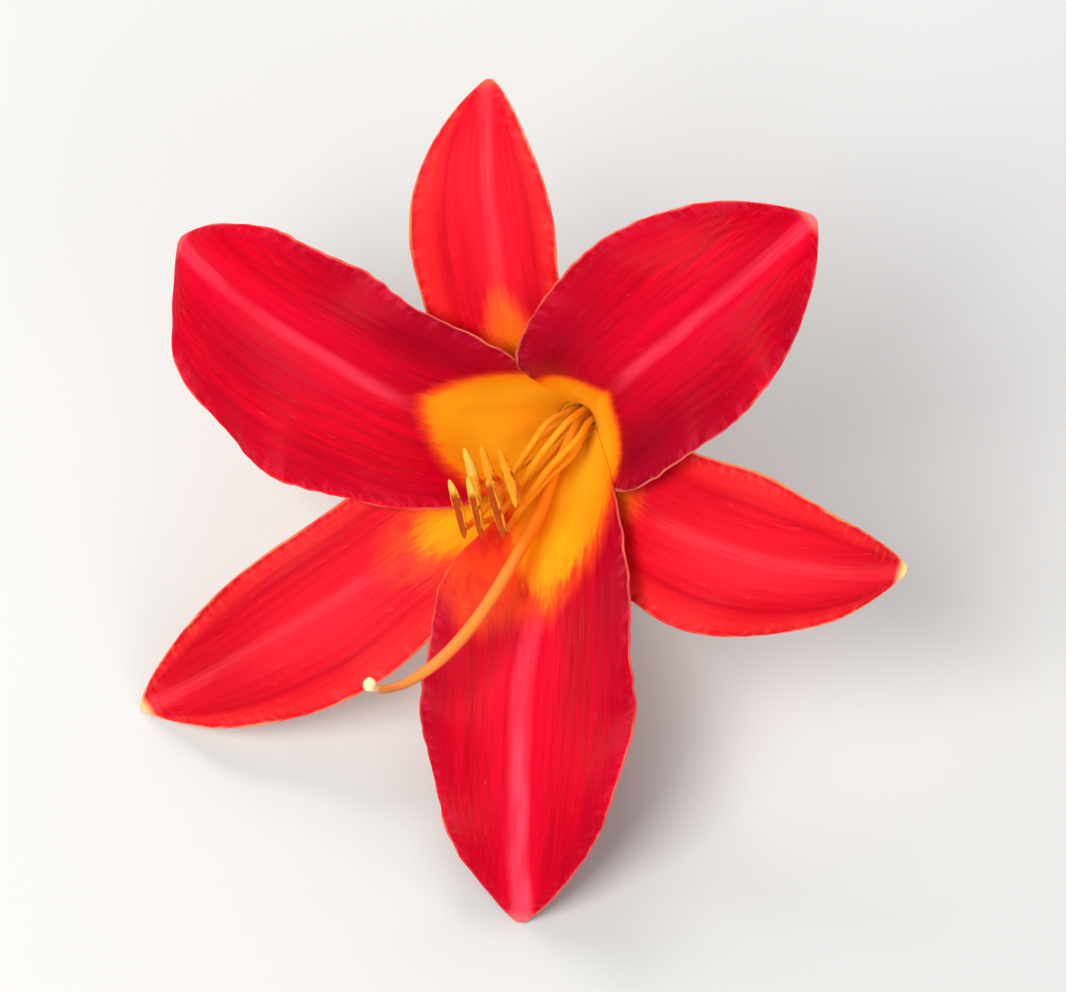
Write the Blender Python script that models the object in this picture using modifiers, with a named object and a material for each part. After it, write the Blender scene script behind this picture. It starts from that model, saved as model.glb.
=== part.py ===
"""A daylily bloom, picked with a short piece of its stalk and laid down on its two lowest tips.

The bloom is drawn upright, with its axis along +Z, the tube's base at the origin and azimuths counted from +X
towards +Y. It is then turned as a whole to lie as a picked bloom does. All lengths are in metres.
"""

import math
from collections import namedtuple

import bmesh
import bpy
import numpy as np
from mathutils import Matrix, Vector
from mathutils.bvhtree import BVHTree

MM = 0.001

# The clearance between pieces that touch on the real flower
GAP = 0.3 * MM

# Stalk: its length, its radius, and the collar where it meets the tube
PEDICEL_LENGTH = 9 * MM
PEDICEL_RADIUS = 1.5 * MM
COLLAR_RADIUS = 1.8 * MM
COLLAR_NECK_RADIUS = 1.65 * MM
COLLAR_NECK_DEPTH = 1.5 * MM
COLLAR_DEPTH = 3.5 * MM

# Tube: a slim neck that holds the ovary and swells into the funnel
TUBE_LENGTH = 22 * MM
TUBE_BASE_RADIUS = 2.0 * MM
TUBE_NECK_RADIUS = 3.3 * MM
TUBE_MOUTH_RADIUS = 5.0 * MM
TUBE_NECK_FROM = 5 * MM
TUBE_SWELLS_FROM = 12 * MM
TUBE_SWELLING = 2.6
TUBE_FLOOR = 2.2 * MM
BORE_HEIGHTS = (TUBE_FLOOR, TUBE_SWELLS_FROM, 18 * MM)
BORE_RADII = (2.1 * MM, 2.4 * MM, 3.0 * MM)
TURNED_STEPS = 24

# Petals and sepals. Shares run along a blade, from 0 at the tube to 1 at the tip.
BLADE_THICKNESS = 0.7 * MM
BLADE_TIP_HALF_WIDTH = 0.5 * MM
BLUNTNESS = 0.85
THROAT_WIDENS_OVER = 0.36
THROAT_WIDENING = 1.5
CURLS_FROM = 0.5
CURLING = 1.6
SWINGING = 1.6
GROOVE_HALF_WIDTH = 1.6 * MM
GROOVE_FULL_AT = 0.2
RELIEF_FROM = 0.4
RELIEF_GROWS_OVER = 0.25
RELIEF_ENDS_OVER = 0.12
WAVES_END_OVER = 0.2
WAVES_AT_MARGIN = 2.5
MARGINS_OUT_OF_STEP = 1.3
ROWS_CLOSE_UP = 1.15
PROFILE_STEPS = 240
WALL_HOLD = 14
TUCK_FROM = 0.14
TUCK_GROWS_OVER = 0.12
TUCK_TO = 0.46
TUCK_ENDS_OVER = 0.2
UNEVEN_FROM = 0.35
UNEVEN_GROWS_OVER = 0.25

# Stamens
FILAMENT_RADIUS = 0.55 * MM
FILAMENT_TAPER = 0.15
FILAMENT_POINTS = 18
FILAMENT_ARRIVES_FROM = Vector((0, -0.5, 0)) * MM
FILAMENT_ARRIVES_BELOW = 2.0 * MM
ANTHER_LENGTH = 9.5 * MM
ANTHER_WIDTH = 1.7 * MM
ANTHER_THICKNESS = 1.5 * MM
ANTHER_BOW = 0.8 * MM
ANTHER_LEAN = Vector((-0.3, 0.95, -0.1))
ANTHER_VARIES = Vector((0.09, 0, 0.12))
ANTHER_POINTEDNESS = 1.15
FURROW_DEPTH = 0.45
FURROW_WIDTH = 0.35

# Pistil
STYLE_RADIUS = 0.7 * MM
STYLE_UPPER_RADIUS = 1.0 * MM
STYLE_THICKENS_FROM = 28 * MM
STYLE_THICKENS_OVER = 12 * MM
STIGMA_RADIUS = 1.3 * MM
STIGMA_POINTS = 3
OVARY_RADIUS = 1.7 * MM
OVARY_TOP = 9 * MM
OVARY_NARROWS_OVER = 3 * MM
STYLE_STRAIGHT_TO = 14 * MM
PISTIL_POINTS = 44

# How the picked bloom lies
DOWN_AZIMUTH = 242.8
AXIS_ABOVE_FLOOR = 43.5
PRESSED_IN = 0.25 * MM
MOST_ROLLS = 8
FLOOR_SIZE = Vector((0.4, 0.4, 0.02))

# A kind of blade: where it leaves the tube, how the funnel opens, and how its section is shaped
Kind = namedtuple(
    "Kind",
    "start_radius funnel bend_start bend_end base_angle throat_width groove pillow lift rows columns",
)
PETAL = Kind(3.35 * MM, 24, 20 * MM, 44 * MM, 56.5, 0.84, 0.7 * MM, 0.9 * MM, 0.8 * MM, 26, 14)
SEPAL = Kind(4.65 * MM, 26, 16 * MM, 40 * MM, 50, 0.72, 0.4 * MM, 1.0 * MM, 1.2 * MM, 24, 10)

# One blade, first line: azimuth where it leaves the tube and how far the tip swings from there, its length
# beyond the tube, greatest half width and where that lies along it, the slope of its open part from the axis,
# and how far its tip turns back. Second line: its margin's waves, the share of width that the margin on the
# lesser azimuth's side loses near the throat, the share by which the other side is the wider one where the
# blade is open, and where the midrib runs between the middle at 0 and that side's margin at 1
Blade = namedtuple(
    "Blade",
    "name kind azimuth swing length half_width widest_at spread curl "
    "ruffle waves phase tuck lopsided rib_off",
)
BLADES = (
    Blade(
        "sepal_top", SEPAL, 105, -7.5, 70 * MM, 11.7 * MM, 0.64, 84, 34,
        0.7 * MM, 2.6, 0.4, 0, 0, -0.15,
    ),
    Blade(
        "sepal_lower_left", SEPAL, 220, -5, 87 * MM, 13.2 * MM, 0.60, 80, 18,
        0.8 * MM, 3.0, 1.9, 0, 0.13, 0,
    ),
    Blade(
        "sepal_right", SEPAL, 333.5, 12.4, 72.5 * MM, 13.9 * MM, 0.60, 86, 28,
        1.2 * MM, 3.1, 3.2, 0, -0.06, 0,
    ),
    Blade(
        "petal_upper_right", PETAL, 39.5, 1.8, 76.5 * MM, 17.8 * MM, 0.64, 85, 36,
        1.9 * MM, 4.6, 0.0, 0, 0.09, 0,
    ),
    Blade(
        "petal_upper_left", PETAL, 160, -7.5, 82.3 * MM, 18.3 * MM, 0.68, 85, 42,
        2.1 * MM, 4.2, 2.2, 0, 0.1, -0.08,
    ),
    Blade(
        "petal_bottom", PETAL, 280.5, -9.6, 88 * MM, 17.4 * MM, 0.62, 80, 18,
        1.6 * MM, 4.4, 4.1, 0.36, -0.08, -0.16,
    ),
)

# Each stamen: azimuth of its foot in the tube, the middle of its anther, and how far below that the
# filament ends
STAMENS = (
    (178, Vector((-9.0, -7.3, 56.5)) * MM, 2.6 * MM),
    (238, Vector((-5.9, -6.4, 57.6)) * MM, 2.6 * MM),
    (317, Vector((-2.8, -7.2, 56.2)) * MM, 2.6 * MM),
    (122, Vector((-8.2, -3.2, 51.4)) * MM, 0.8 * MM),
    (65, Vector((-5.3, -2.4, 52.4)) * MM, 0.8 * MM),
    (8, Vector((-2.4, -3.2, 51.2)) * MM, 0.8 * MM),
)

# The ring of filaments round the style: its centre and radius, from the foot up to where it parts for the
# anthers
BUNDLE = (
    (Vector((0, 0, 19.6)) * MM, 2.1 * MM),
    (Vector((0, 0, 24.0)) * MM, 2.2 * MM),
    (Vector((-0.7, -1.4, 31.0)) * MM, 3.2 * MM),
    (Vector((-2.4, -4.4, 38.0)) * MM, 2.6 * MM),
    (Vector((-4.0, -8.0, 47.0)) * MM, 2.4 * MM),
)

# The style beyond the tube: it leaves the ring of filaments on its lower side
STYLE = (
    Vector((0, 0, 20.0)) * MM,
    Vector((0, -0.9, 25.0)) * MM,
    Vector((-0.5, -4.8, 31.0)) * MM,
    Vector((-0.3, -8.2, 38.0)) * MM,
    Vector((0.3, -10.8, 45.0)) * MM,
    Vector((0, -14.6, 55.0)) * MM,
    Vector((-3.0, -21.5, 61.7)) * MM,
    Vector((-7.4, -27.7, 66.1)) * MM,
    Vector((-12.4, -31.9, 69.3)) * MM,
    Vector((-16.4, -33.2, 71.8)) * MM,
    Vector((-18.5, -31.7, 74.4)) * MM,
)

COLOURS = {
    "pedicel": (0.22, 0.42, 0.08),
    "tube": (0.62, 0.55, 0.06),
    "petal": (0.74, 0.006, 0.025),
    "sepal": (0.88, 0.03, 0.045),
    "filament": (0.95, 0.36, 0.02),
    "anther": (0.16, 0.05, 0.03),
    "pistil": (0.93, 0.33, 0.06),
}


def clear_scene():
    for old in list(bpy.data.objects):
        bpy.data.objects.remove(old, do_unlink=True)


def make_collection(name):
    made = bpy.data.collections.new(name)
    bpy.context.scene.collection.children.link(made)
    return made


def make_material(name, roughness=0.45):
    made = bpy.data.materials.new(name)
    made.use_nodes = True
    shader = made.node_tree.nodes["Principled BSDF"]
    shader.inputs["Base Color"].default_value = (*COLOURS[name], 1)
    shader.inputs["Roughness"].default_value = roughness
    shader.inputs["Metallic"].default_value = 0
    return made


def add_object(name, data, material, collection, parent):
    made = bpy.data.objects.new(name, data)
    made.data.materials.append(material)
    made.parent = parent
    collection.objects.link(made)
    return made


def ease(x):
    """Rises smoothly from 0 to 1 as x does."""
    x = np.clip(x, 0, 1)
    return x * x * (3 - 2 * x)


def heading(azimuth):
    """The unit vector square to the bloom's axis at this azimuth in degrees."""
    return Vector((math.cos(math.radians(azimuth)), math.sin(math.radians(azimuth)), 0))


def smooth_path(points, count):
    """Points at even steps of a smooth curve through the given ones (Catmull-Rom)."""
    ends = [2 * points[0] - points[1], *points, 2 * points[-1] - points[-2]]
    found = []
    for step in range(count):
        along = step / (count - 1) * (len(points) - 1)
        first = min(int(along), len(points) - 2)
        t = along - first
        a, b, c, d = ends[first : first + 4]
        bent = 2 * b + (c - a) * t + (2 * a - 5 * b + 4 * c - d) * t**2 + (3 * b - a - 3 * c + d) * t**3
        found.append(bent / 2)
    return found


def blade_profile(blade):
    """The midrib's line, at even steps of its length: distance from the axis, height and slope."""
    kind = blade.kind
    run = np.linspace(0, blade.length, PROFILE_STEPS + 1)
    opening = ease((run - kind.bend_start) / (kind.bend_end - kind.bend_start))
    turning = ease((run / blade.length - CURLS_FROM) / (1 - CURLS_FROM)) ** CURLING
    slope = np.radians(kind.funnel + (blade.spread - kind.funnel) * opening + blade.curl * turning)
    step = blade.length / PROFILE_STEPS
    outward = np.concatenate([[0], np.cumsum(np.sin((slope[1:] + slope[:-1]) / 2)) * step])
    upward = np.concatenate([[0], np.cumsum(np.cos((slope[1:] + slope[:-1]) / 2)) * step])
    foot = TUBE_LENGTH + GAP + BLADE_THICKNESS / 2 * math.sin(math.radians(kind.funnel))
    return run, kind.start_radius + outward, foot + upward, slope


def blade_half_width(blade, along, radius):
    """Follows the funnel's wall near the tube, widens to its greatest and closes to a blunt point."""
    short_of_widest = np.clip((blade.widest_at - along) / THROAT_WIDENS_OVER, 0, 1)
    widening = 1 - (1 - blade.kind.throat_width) * short_of_widest**THROAT_WIDENING
    closing = np.sin(math.pi / 2 * np.clip((1 - along) / (1 - blade.widest_at), 0, 1) ** BLUNTNESS)
    free = blade.half_width * widening * closing + BLADE_TIP_HALF_WIDTH
    wall = math.radians(blade.kind.base_angle) * radius
    return (free**-WALL_HOLD + wall**-WALL_HOLD) ** (-1 / WALL_HOLD)


def blade_points(blade, along, across):
    """The middle of a blade. along runs from 0 at the tube to 1 at the tip, across from -1 to 1 between
    margins.

    The midrib's line is swept round the axis, so rings nest in one another. The section then gets a midrib
    groove, a swelling on each side of it, margins that lift, and waves that grow towards the margins.
    """
    kind = blade.kind
    run, radii, heights, slopes = blade_profile(blade)
    radius = np.interp(along * blade.length, run, radii)
    height = np.interp(along * blade.length, run, heights)
    slope = np.interp(along * blade.length, run, slopes)
    tuck = blade.tuck * ease((along - TUCK_FROM) / TUCK_GROWS_OVER) * ease((TUCK_TO - along) / TUCK_ENDS_OVER)
    uneven = ease((along - UNEVEN_FROM) / UNEVEN_GROWS_OVER)
    even_half_width = blade_half_width(blade, along, radius)
    half_width = even_half_width * (1 - tuck * (across < 0)) * (1 + blade.lopsided * np.sign(across) * uneven)
    azimuth = np.radians(blade.azimuth + blade.swing * along**SWINGING) + across * half_width / radius
    opened = ease((along - RELIEF_FROM) / RELIEF_GROWS_OVER)
    fading = ease((1 - along) / RELIEF_ENDS_OVER)
    from_rib = across - blade.rib_off * (1 - across**2) * uneven * fading
    groove = np.exp(-((from_rib * even_half_width / GROOVE_HALF_WIDTH) ** 2))
    groove *= -kind.groove * ease(along / GROOVE_FULL_AT) * fading
    pillow = kind.pillow * np.sin(math.pi * np.abs(from_rib)) * opened * fading
    lift = kind.lift * across**4 * opened * fading
    wave = np.sin(2 * math.pi * blade.waves * along + blade.phase + MARGINS_OUT_OF_STEP * np.sign(across))
    ruffle = blade.ruffle * np.abs(across) ** WAVES_AT_MARGIN * wave * opened
    ruffle *= ease((1 - along) / WAVES_END_OVER)
    rise = groove + pillow + lift + ruffle
    x = (radius - rise * np.cos(slope)) * np.cos(azimuth)
    y = (radius - rise * np.cos(slope)) * np.sin(azimuth)
    z = height + rise * np.sin(slope)
    return np.stack([x, y, z], axis=-1)


def make_blade(blade, material, collection, parent):
    kind = blade.kind
    mesh = bpy.data.meshes.new(blade.name)
    shape = bmesh.new()
    bmesh.ops.create_grid(shape, x_segments=kind.columns, y_segments=kind.rows, size=1)
    flat = np.array([vertex.co[:2] for vertex in shape.verts])
    along = 1 - (1 - (flat[:, 1] + 1) / 2) ** ROWS_CLOSE_UP
    for vertex, place in zip(shape.verts, blade_points(blade, along, flat[:, 0])):
        vertex.co = place
    bmesh.ops.triangulate(shape, faces=shape.faces)
    bmesh.ops.recalc_face_normals(shape, faces=shape.faces)
    shape.to_mesh(mesh)
    shape.free()
    mesh.shade_smooth()
    made = add_object(blade.name, mesh, material, collection, parent)
    wall = made.modifiers.new("Thickness", "SOLIDIFY")
    wall.thickness = BLADE_THICKNESS
    wall.offset = 0
    return made


def make_turned(name, profile, material, collection, parent):
    """Turns a profile of (radius, height) points round the bloom's axis."""
    mesh = bpy.data.meshes.new(name)
    places = [(radius, 0, height) for radius, height in profile]
    edges = [(i, i + 1) for i in range(len(profile) - 1)]
    mesh.from_pydata(places, edges, [])
    made = add_object(name, mesh, material, collection, parent)
    turn = made.modifiers.new("Turn", "SCREW")
    turn.steps = TURNED_STEPS
    turn.render_steps = TURNED_STEPS
    turn.use_merge_vertices = True
    turn.merge_threshold = 0.05 * MM
    turn.use_smooth_shade = True
    return made


def make_pedicel(material, collection, parent):
    top = -GAP
    profile = [
        (0, top),
        (COLLAR_RADIUS, top),
        (COLLAR_NECK_RADIUS, top - COLLAR_NECK_DEPTH),
        (PEDICEL_RADIUS, top - COLLAR_DEPTH),
        (PEDICEL_RADIUS, top - PEDICEL_LENGTH),
        (0, top - PEDICEL_LENGTH),
    ]
    return make_turned("pedicel", profile, material, collection, parent)


def make_tube(material, collection, parent):
    def outer_radius(height):
        neck = (TUBE_NECK_RADIUS - TUBE_BASE_RADIUS) * ease(height / TUBE_NECK_FROM)
        swell = max(0, (height - TUBE_SWELLS_FROM) / (TUBE_LENGTH - TUBE_SWELLS_FROM)) ** TUBE_SWELLING
        return TUBE_BASE_RADIUS + neck + (TUBE_MOUTH_RADIUS - TUBE_NECK_RADIUS) * swell

    up = np.linspace(TUBE_FLOOR, TUBE_LENGTH, 4)
    down = np.linspace(TUBE_LENGTH, 0, 10)
    inside = [(np.interp(height, BORE_HEIGHTS, BORE_RADII), height) for height in up]
    outside = [(outer_radius(height), height) for height in down]
    profile = [(0, TUBE_FLOOR), *inside, *outside, (0, 0)]
    return make_turned("perianth_tube", profile, material, collection, parent)


def make_strand(name, points, radii, material, collection, parent):
    """A round strand along the points, with a radius at each."""
    curve = bpy.data.curves.new(name, "CURVE")
    curve.dimensions = "3D"
    curve.bevel_depth = 1
    curve.bevel_resolution = 2
    curve.use_fill_caps = True
    spline = curve.splines.new("POLY")
    spline.points.add(len(points) - 1)
    for target, place, radius in zip(spline.points, points, radii):
        target.co = (*place, 1)
        target.radius = radius
    spline.use_smooth = True
    return add_object(name, curve, material, collection, parent)


def anther_axes(index):
    """The anther's long, wide and thin directions. Each leans a little differently from its neighbours."""
    long_way = (ANTHER_LEAN + ANTHER_VARIES * math.sin(2.1 * index)).normalized()
    thin_way = (Vector((0, 0, 1)) - long_way * long_way.z).normalized()
    wide_way = long_way.cross(thin_way)
    return long_way, wide_way, thin_way


def anther_seat(index):
    """The point on the back of the anther where its filament ends."""
    _, middle, below = STAMENS[index]
    long_way, _, thin_way = anther_axes(index)
    bow = ANTHER_BOW * (2 * below / ANTHER_LENGTH) ** 2
    return middle - long_way * below - thin_way * (ANTHER_THICKNESS / 2 + GAP - bow)


def make_filament(index, material, collection, parent):
    foot_azimuth, _, _ = STAMENS[index]
    route = [centre + heading(foot_azimuth) * around for centre, around in BUNDLE]
    seat = anther_seat(index)
    _, _, thin_way = anther_axes(index)
    route.append(seat - thin_way * FILAMENT_ARRIVES_BELOW + FILAMENT_ARRIVES_FROM)
    route.append(seat)
    points = smooth_path(route, FILAMENT_POINTS)
    radii = FILAMENT_RADIUS * (1 - FILAMENT_TAPER * np.linspace(0, 1, FILAMENT_POINTS))
    return make_strand(f"filament_{index + 1}", points, radii, material, collection, parent)


def make_anther(index, material, collection, parent):
    """Two pollen sacs side by side: a long ellipsoid with a furrow down its face and a slight bow."""
    _, middle, _ = STAMENS[index]
    long_way, wide_way, thin_way = anther_axes(index)
    mesh = bpy.data.meshes.new(f"anther_{index + 1}")
    shape = bmesh.new()
    bmesh.ops.create_uvsphere(shape, u_segments=10, v_segments=8, radius=1)
    for vertex in shape.verts:
        x, y, z = vertex.co
        furrow = 1 - FURROW_DEPTH * math.exp(-((x / FURROW_WIDTH) ** 2)) if y > 0 else 1
        full = math.copysign(abs(z) ** ANTHER_POINTEDNESS, z)
        bow = ANTHER_BOW * z * z
        vertex.co = (
            middle
            + long_way * full * ANTHER_LENGTH / 2
            + wide_way * x * ANTHER_WIDTH / 2
            + thin_way * (y * furrow * ANTHER_THICKNESS / 2 + bow)
        )
    bmesh.ops.triangulate(shape, faces=shape.faces)
    bmesh.ops.recalc_face_normals(shape, faces=shape.faces)
    shape.to_mesh(mesh)
    shape.free()
    mesh.shade_smooth()
    return add_object(mesh.name, mesh, material, collection, parent)


def make_pistil(material, collection, parent):
    """Ovary, style and stigma as one strand that swells at both ends."""
    base = TUBE_FLOOR + GAP
    straight = [Vector((0, 0, height)) for height in (base, OVARY_TOP, STYLE_STRAIGHT_TO)]
    points = smooth_path([*straight, *STYLE], PISTIL_POINTS)
    narrows_to = OVARY_TOP + OVARY_NARROWS_OVER / 2
    radii = []
    for i, place in enumerate(points):
        ovary = OVARY_RADIUS * ease((narrows_to - place.z) / OVARY_NARROWS_OVER)
        thicker = ease((place.z - STYLE_THICKENS_FROM) / STYLE_THICKENS_OVER)
        style = STYLE_RADIUS + (STYLE_UPPER_RADIUS - STYLE_RADIUS) * thicker
        stigma = ease((i - PISTIL_POINTS + STIGMA_POINTS) / (STIGMA_POINTS - 1))
        radii.append(max(style, ovary) + (STIGMA_RADIUS - STYLE_UPPER_RADIUS) * stigma)
    return make_strand("pistil", points, radii, material, collection, parent)


def resting_way(points, centre, wished_down):
    """The way down once the bloom has rolled from the wished one onto a face of its convex hull."""
    hull = bmesh.new()
    for point in points:
        hull.verts.new(point)
    bmesh.ops.convex_hull(hull, input=hull.verts, use_existing_faces=False)
    bmesh.ops.recalc_face_normals(hull, faces=hull.faces)
    skin = BVHTree.FromBMesh(hull)
    down = wished_down
    for _ in range(MOST_ROLLS):
        _, normal, _, _ = skin.ray_cast(centre, down)
        if normal.dot(down) < 0:
            normal.negate()
        if normal.dot(down) > 1 - 1e-9:
            break
        down = normal
    hull.free()
    return down


def points_and_centre(objects):
    """Every point of the finished pieces, and their centre of mass as one even material."""
    bpy.context.view_layer.update()
    graph = bpy.context.evaluated_depsgraph_get()
    found = []
    volume = 0
    moment = Vector((0, 0, 0))
    for made in objects:
        evaluated = made.evaluated_get(graph)
        mesh = evaluated.to_mesh()
        mesh.calc_loop_triangles()
        places = [evaluated.matrix_world @ vertex.co for vertex in mesh.vertices]
        for triangle in mesh.loop_triangles:
            a, b, c = (places[i] for i in triangle.vertices)
            piece = a.dot(b.cross(c)) / 6
            volume += piece
            moment += (a + b + c) * piece / 4
        found += places
        evaluated.to_mesh_clear()
    return found, moment / volume


def lay_down(bloom, parts):
    """Turns the bloom so that the hull face on its down side lies on the floor and its face looks towards -Y.

    The lowest points go PRESSED_IN below the floor, where the floor cutter takes them off.
    """
    tilt = math.radians(AXIS_ABOVE_FLOOR)
    wished_down = heading(DOWN_AZIMUTH) * math.cos(tilt) - Vector((0, 0, math.sin(tilt)))
    points, centre = points_and_centre(parts)
    normal = resting_way(points, centre, wished_down)
    axis = Vector((0, 0, 1))
    front = (axis - normal * axis.dot(normal)).normalized()
    side = front.cross(normal)
    turn = Matrix((side, -front, -normal)).to_4x4()
    turned = np.array([turn @ point for point in points])
    low = turned.min(axis=0)
    high = turned.max(axis=0)
    move = Vector((-(low[0] + high[0]) / 2, -(low[1] + high[1]) / 2, -low[2] - PRESSED_IN))
    bloom.matrix_world = Matrix.Translation(move) @ turn


def press_flat(made, floor):
    cut = made.modifiers.new("Resting flat", "BOOLEAN")
    cut.operation = "DIFFERENCE"
    cut.solver = "EXACT"
    cut.object = floor


def make_floor(collection):
    """The cutter whose top is the plane that the bloom lies on."""
    mesh = bpy.data.meshes.new("floor_cutter")
    shape = bmesh.new()
    bmesh.ops.create_cube(shape, size=1)
    shape.to_mesh(mesh)
    shape.free()
    floor = bpy.data.objects.new("floor_cutter", mesh)
    floor.scale = FLOOR_SIZE
    floor.location = (0, 0, -FLOOR_SIZE.z / 2)
    floor.hide_render = True
    floor.display_type = "WIRE"
    collection.objects.link(floor)
    return floor


def main():
    clear_scene()
    collection = make_collection("Daylily bloom")
    cutters = make_collection("Cutters")
    materials = {name: make_material(name) for name in COLOURS}
    bloom = bpy.data.objects.new("bloom", None)
    collection.objects.link(bloom)

    parts = {}
    for blade in BLADES:
        material = materials["petal" if blade.kind is PETAL else "sepal"]
        parts[blade.name] = make_blade(blade, material, collection, bloom)
    for index in range(len(STAMENS)):
        filament = make_filament(index, materials["filament"], collection, bloom)
        anther = make_anther(index, materials["anther"], collection, bloom)
        parts[filament.name] = filament
        parts[anther.name] = anther
    parts["pistil"] = make_pistil(materials["pistil"], collection, bloom)
    parts["perianth_tube"] = make_tube(materials["tube"], collection, bloom)
    parts["pedicel"] = make_pedicel(materials["pedicel"], collection, bloom)

    lay_down(bloom, parts.values())
    floor = make_floor(cutters)
    for name in ("pedicel", "petal_bottom", "sepal_lower_left"):
        press_flat(parts[name], floor)


main()
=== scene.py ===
# %% [markdown]
# # A daylily bloom, picked and laid down
#
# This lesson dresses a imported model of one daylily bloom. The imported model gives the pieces, their real
# size and the way the bloom lies. Here each piece is made again on a finer grid, with veins, crimped
# margins and pollen, and gets a finish worked out by nodes.
#
# Lengths are in metres. The bloom's own frame has its axis along +Z, with the base of the tube at the
# origin and azimuths counted from +X towards +Y.

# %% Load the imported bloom
import math
from collections import namedtuple

import bpy
import numpy as np
from mathutils import Matrix, Vector


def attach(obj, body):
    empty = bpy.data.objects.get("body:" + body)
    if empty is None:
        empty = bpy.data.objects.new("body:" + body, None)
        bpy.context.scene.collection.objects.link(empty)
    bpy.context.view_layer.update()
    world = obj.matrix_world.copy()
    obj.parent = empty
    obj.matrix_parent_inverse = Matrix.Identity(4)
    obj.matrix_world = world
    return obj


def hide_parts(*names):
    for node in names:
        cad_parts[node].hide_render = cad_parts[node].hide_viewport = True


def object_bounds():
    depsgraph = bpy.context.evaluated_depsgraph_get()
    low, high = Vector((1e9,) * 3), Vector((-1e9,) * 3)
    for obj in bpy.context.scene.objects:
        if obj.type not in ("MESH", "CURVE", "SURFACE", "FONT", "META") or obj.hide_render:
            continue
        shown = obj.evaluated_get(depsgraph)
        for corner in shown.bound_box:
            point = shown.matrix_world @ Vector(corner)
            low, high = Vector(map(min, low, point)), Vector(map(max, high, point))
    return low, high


MM = 0.001
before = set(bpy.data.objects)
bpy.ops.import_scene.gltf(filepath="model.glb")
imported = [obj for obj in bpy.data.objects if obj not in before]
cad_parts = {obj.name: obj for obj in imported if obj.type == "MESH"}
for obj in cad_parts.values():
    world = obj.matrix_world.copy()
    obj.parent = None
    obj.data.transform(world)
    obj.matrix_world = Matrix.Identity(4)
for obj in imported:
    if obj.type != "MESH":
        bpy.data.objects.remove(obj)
cad_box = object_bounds()
print("pieces in the packed bloom:", len(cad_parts))
print("its box in mm:", [[round(value / MM, 1) for value in corner] for corner in cad_box])

# %% [markdown]
# ## Small helpers
#
# `ease` is the smooth step that nearly every shape below uses. `wander` adds a few sine waves whose rates
# share no common step, so it never repeats over a petal. It stands in for the unevenness of growth. Random
# numbers would do too, but sines need no seed to give the same result each run.

# %% Ease and wander
def ease(x):
    """x limited to 0..1, then 3x^2 - 2x^3, which starts and ends level."""
    x = np.clip(x, 0, 1)
    return x * x * (3 - 2 * x)


def wander(x, phase):
    """The mean of three sines of x, at rates 1, 1.618 and 2.414, each shifted by the phase."""
    return (np.sin(x + phase) + np.sin(1.618 * x + 2.1 * phase) + np.sin(2.414 * x + 3.7 * phase)) / 3


print("ease at a quarter:", ease(0.25))

# %% [markdown]
# ## The two kinds of tepal
#
# A daylily has six tepals in two rings. The three inner ones are petals: wide, with waved margins. The
# three outer ones are sepals: narrower, with nearly smooth margins. Every tepal could be sculpted by hand,
# but all six follow one rule with other numbers, so one function and a table of the six keeps them alike
# in the way that a real bloom is.
#
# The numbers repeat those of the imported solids, so that each fine tepal lies where its solid does. Angles
# are in degrees, and shares run along a tepal from 0 at the tube to 1 at the tip. A kind says where the
# tepal leaves the tube, how the funnel opens, and how the section is shaped. A blade has its azimuth and
# how far the tip swings from it, its length, its greatest half width and where that lies, how far it
# spreads from the axis and how far its tip curls back. Then come its margin's waves, how much of one side
# is drawn in near the throat, how much wider one side is, and how far the midrib runs off the middle.

# %% Numbers shared by all tepals
GAP = 0.3 * MM
TUBE_LENGTH = 22 * MM
SOLID_THICKNESS = 0.7 * MM
TIP_HALF_WIDTH = 0.5 * MM
BLUNTNESS = 0.85
THROAT_WIDENS_OVER = 0.36
THROAT_WIDENING = 1.5
CURLS_FROM = 0.5
CURLING = 1.6
SWINGING = 1.6
GROOVE_HALF_WIDTH = 1.6 * MM
GROOVE_FULL_AT = 0.2
RELIEF_FROM = 0.4
RELIEF_GROWS_OVER = 0.25
RELIEF_ENDS_OVER = 0.12
WAVES_END_OVER = 0.2
WAVES_AT_MARGIN = 2.5
MARGINS_OUT_OF_STEP = 1.3
ROWS_CLOSE_UP = 1.15
PROFILE_STEPS = 240
WALL_HOLD = 14
TUCK_FROM = 0.14
TUCK_GROWS_OVER = 0.12
TUCK_TO = 0.46
TUCK_ENDS_OVER = 0.2
UNEVEN_FROM = 0.35
UNEVEN_GROWS_OVER = 0.25
print(f"tube {TUBE_LENGTH / MM:.0f} mm long, {GAP / MM:.1f} mm between pieces that meet")

# %% The kinds and the six tepals
Kind = namedtuple(
    "Kind",
    "start_radius funnel bend_start bend_end base_angle throat_width groove pillow lift rows columns",
)
PETAL = Kind(3.35 * MM, 24, 20 * MM, 44 * MM, 56.5, 0.84, 0.7 * MM, 0.9 * MM, 0.8 * MM, 26, 14)
SEPAL = Kind(4.65 * MM, 26, 16 * MM, 40 * MM, 50, 0.72, 0.4 * MM, 1.0 * MM, 1.2 * MM, 24, 10)

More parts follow.
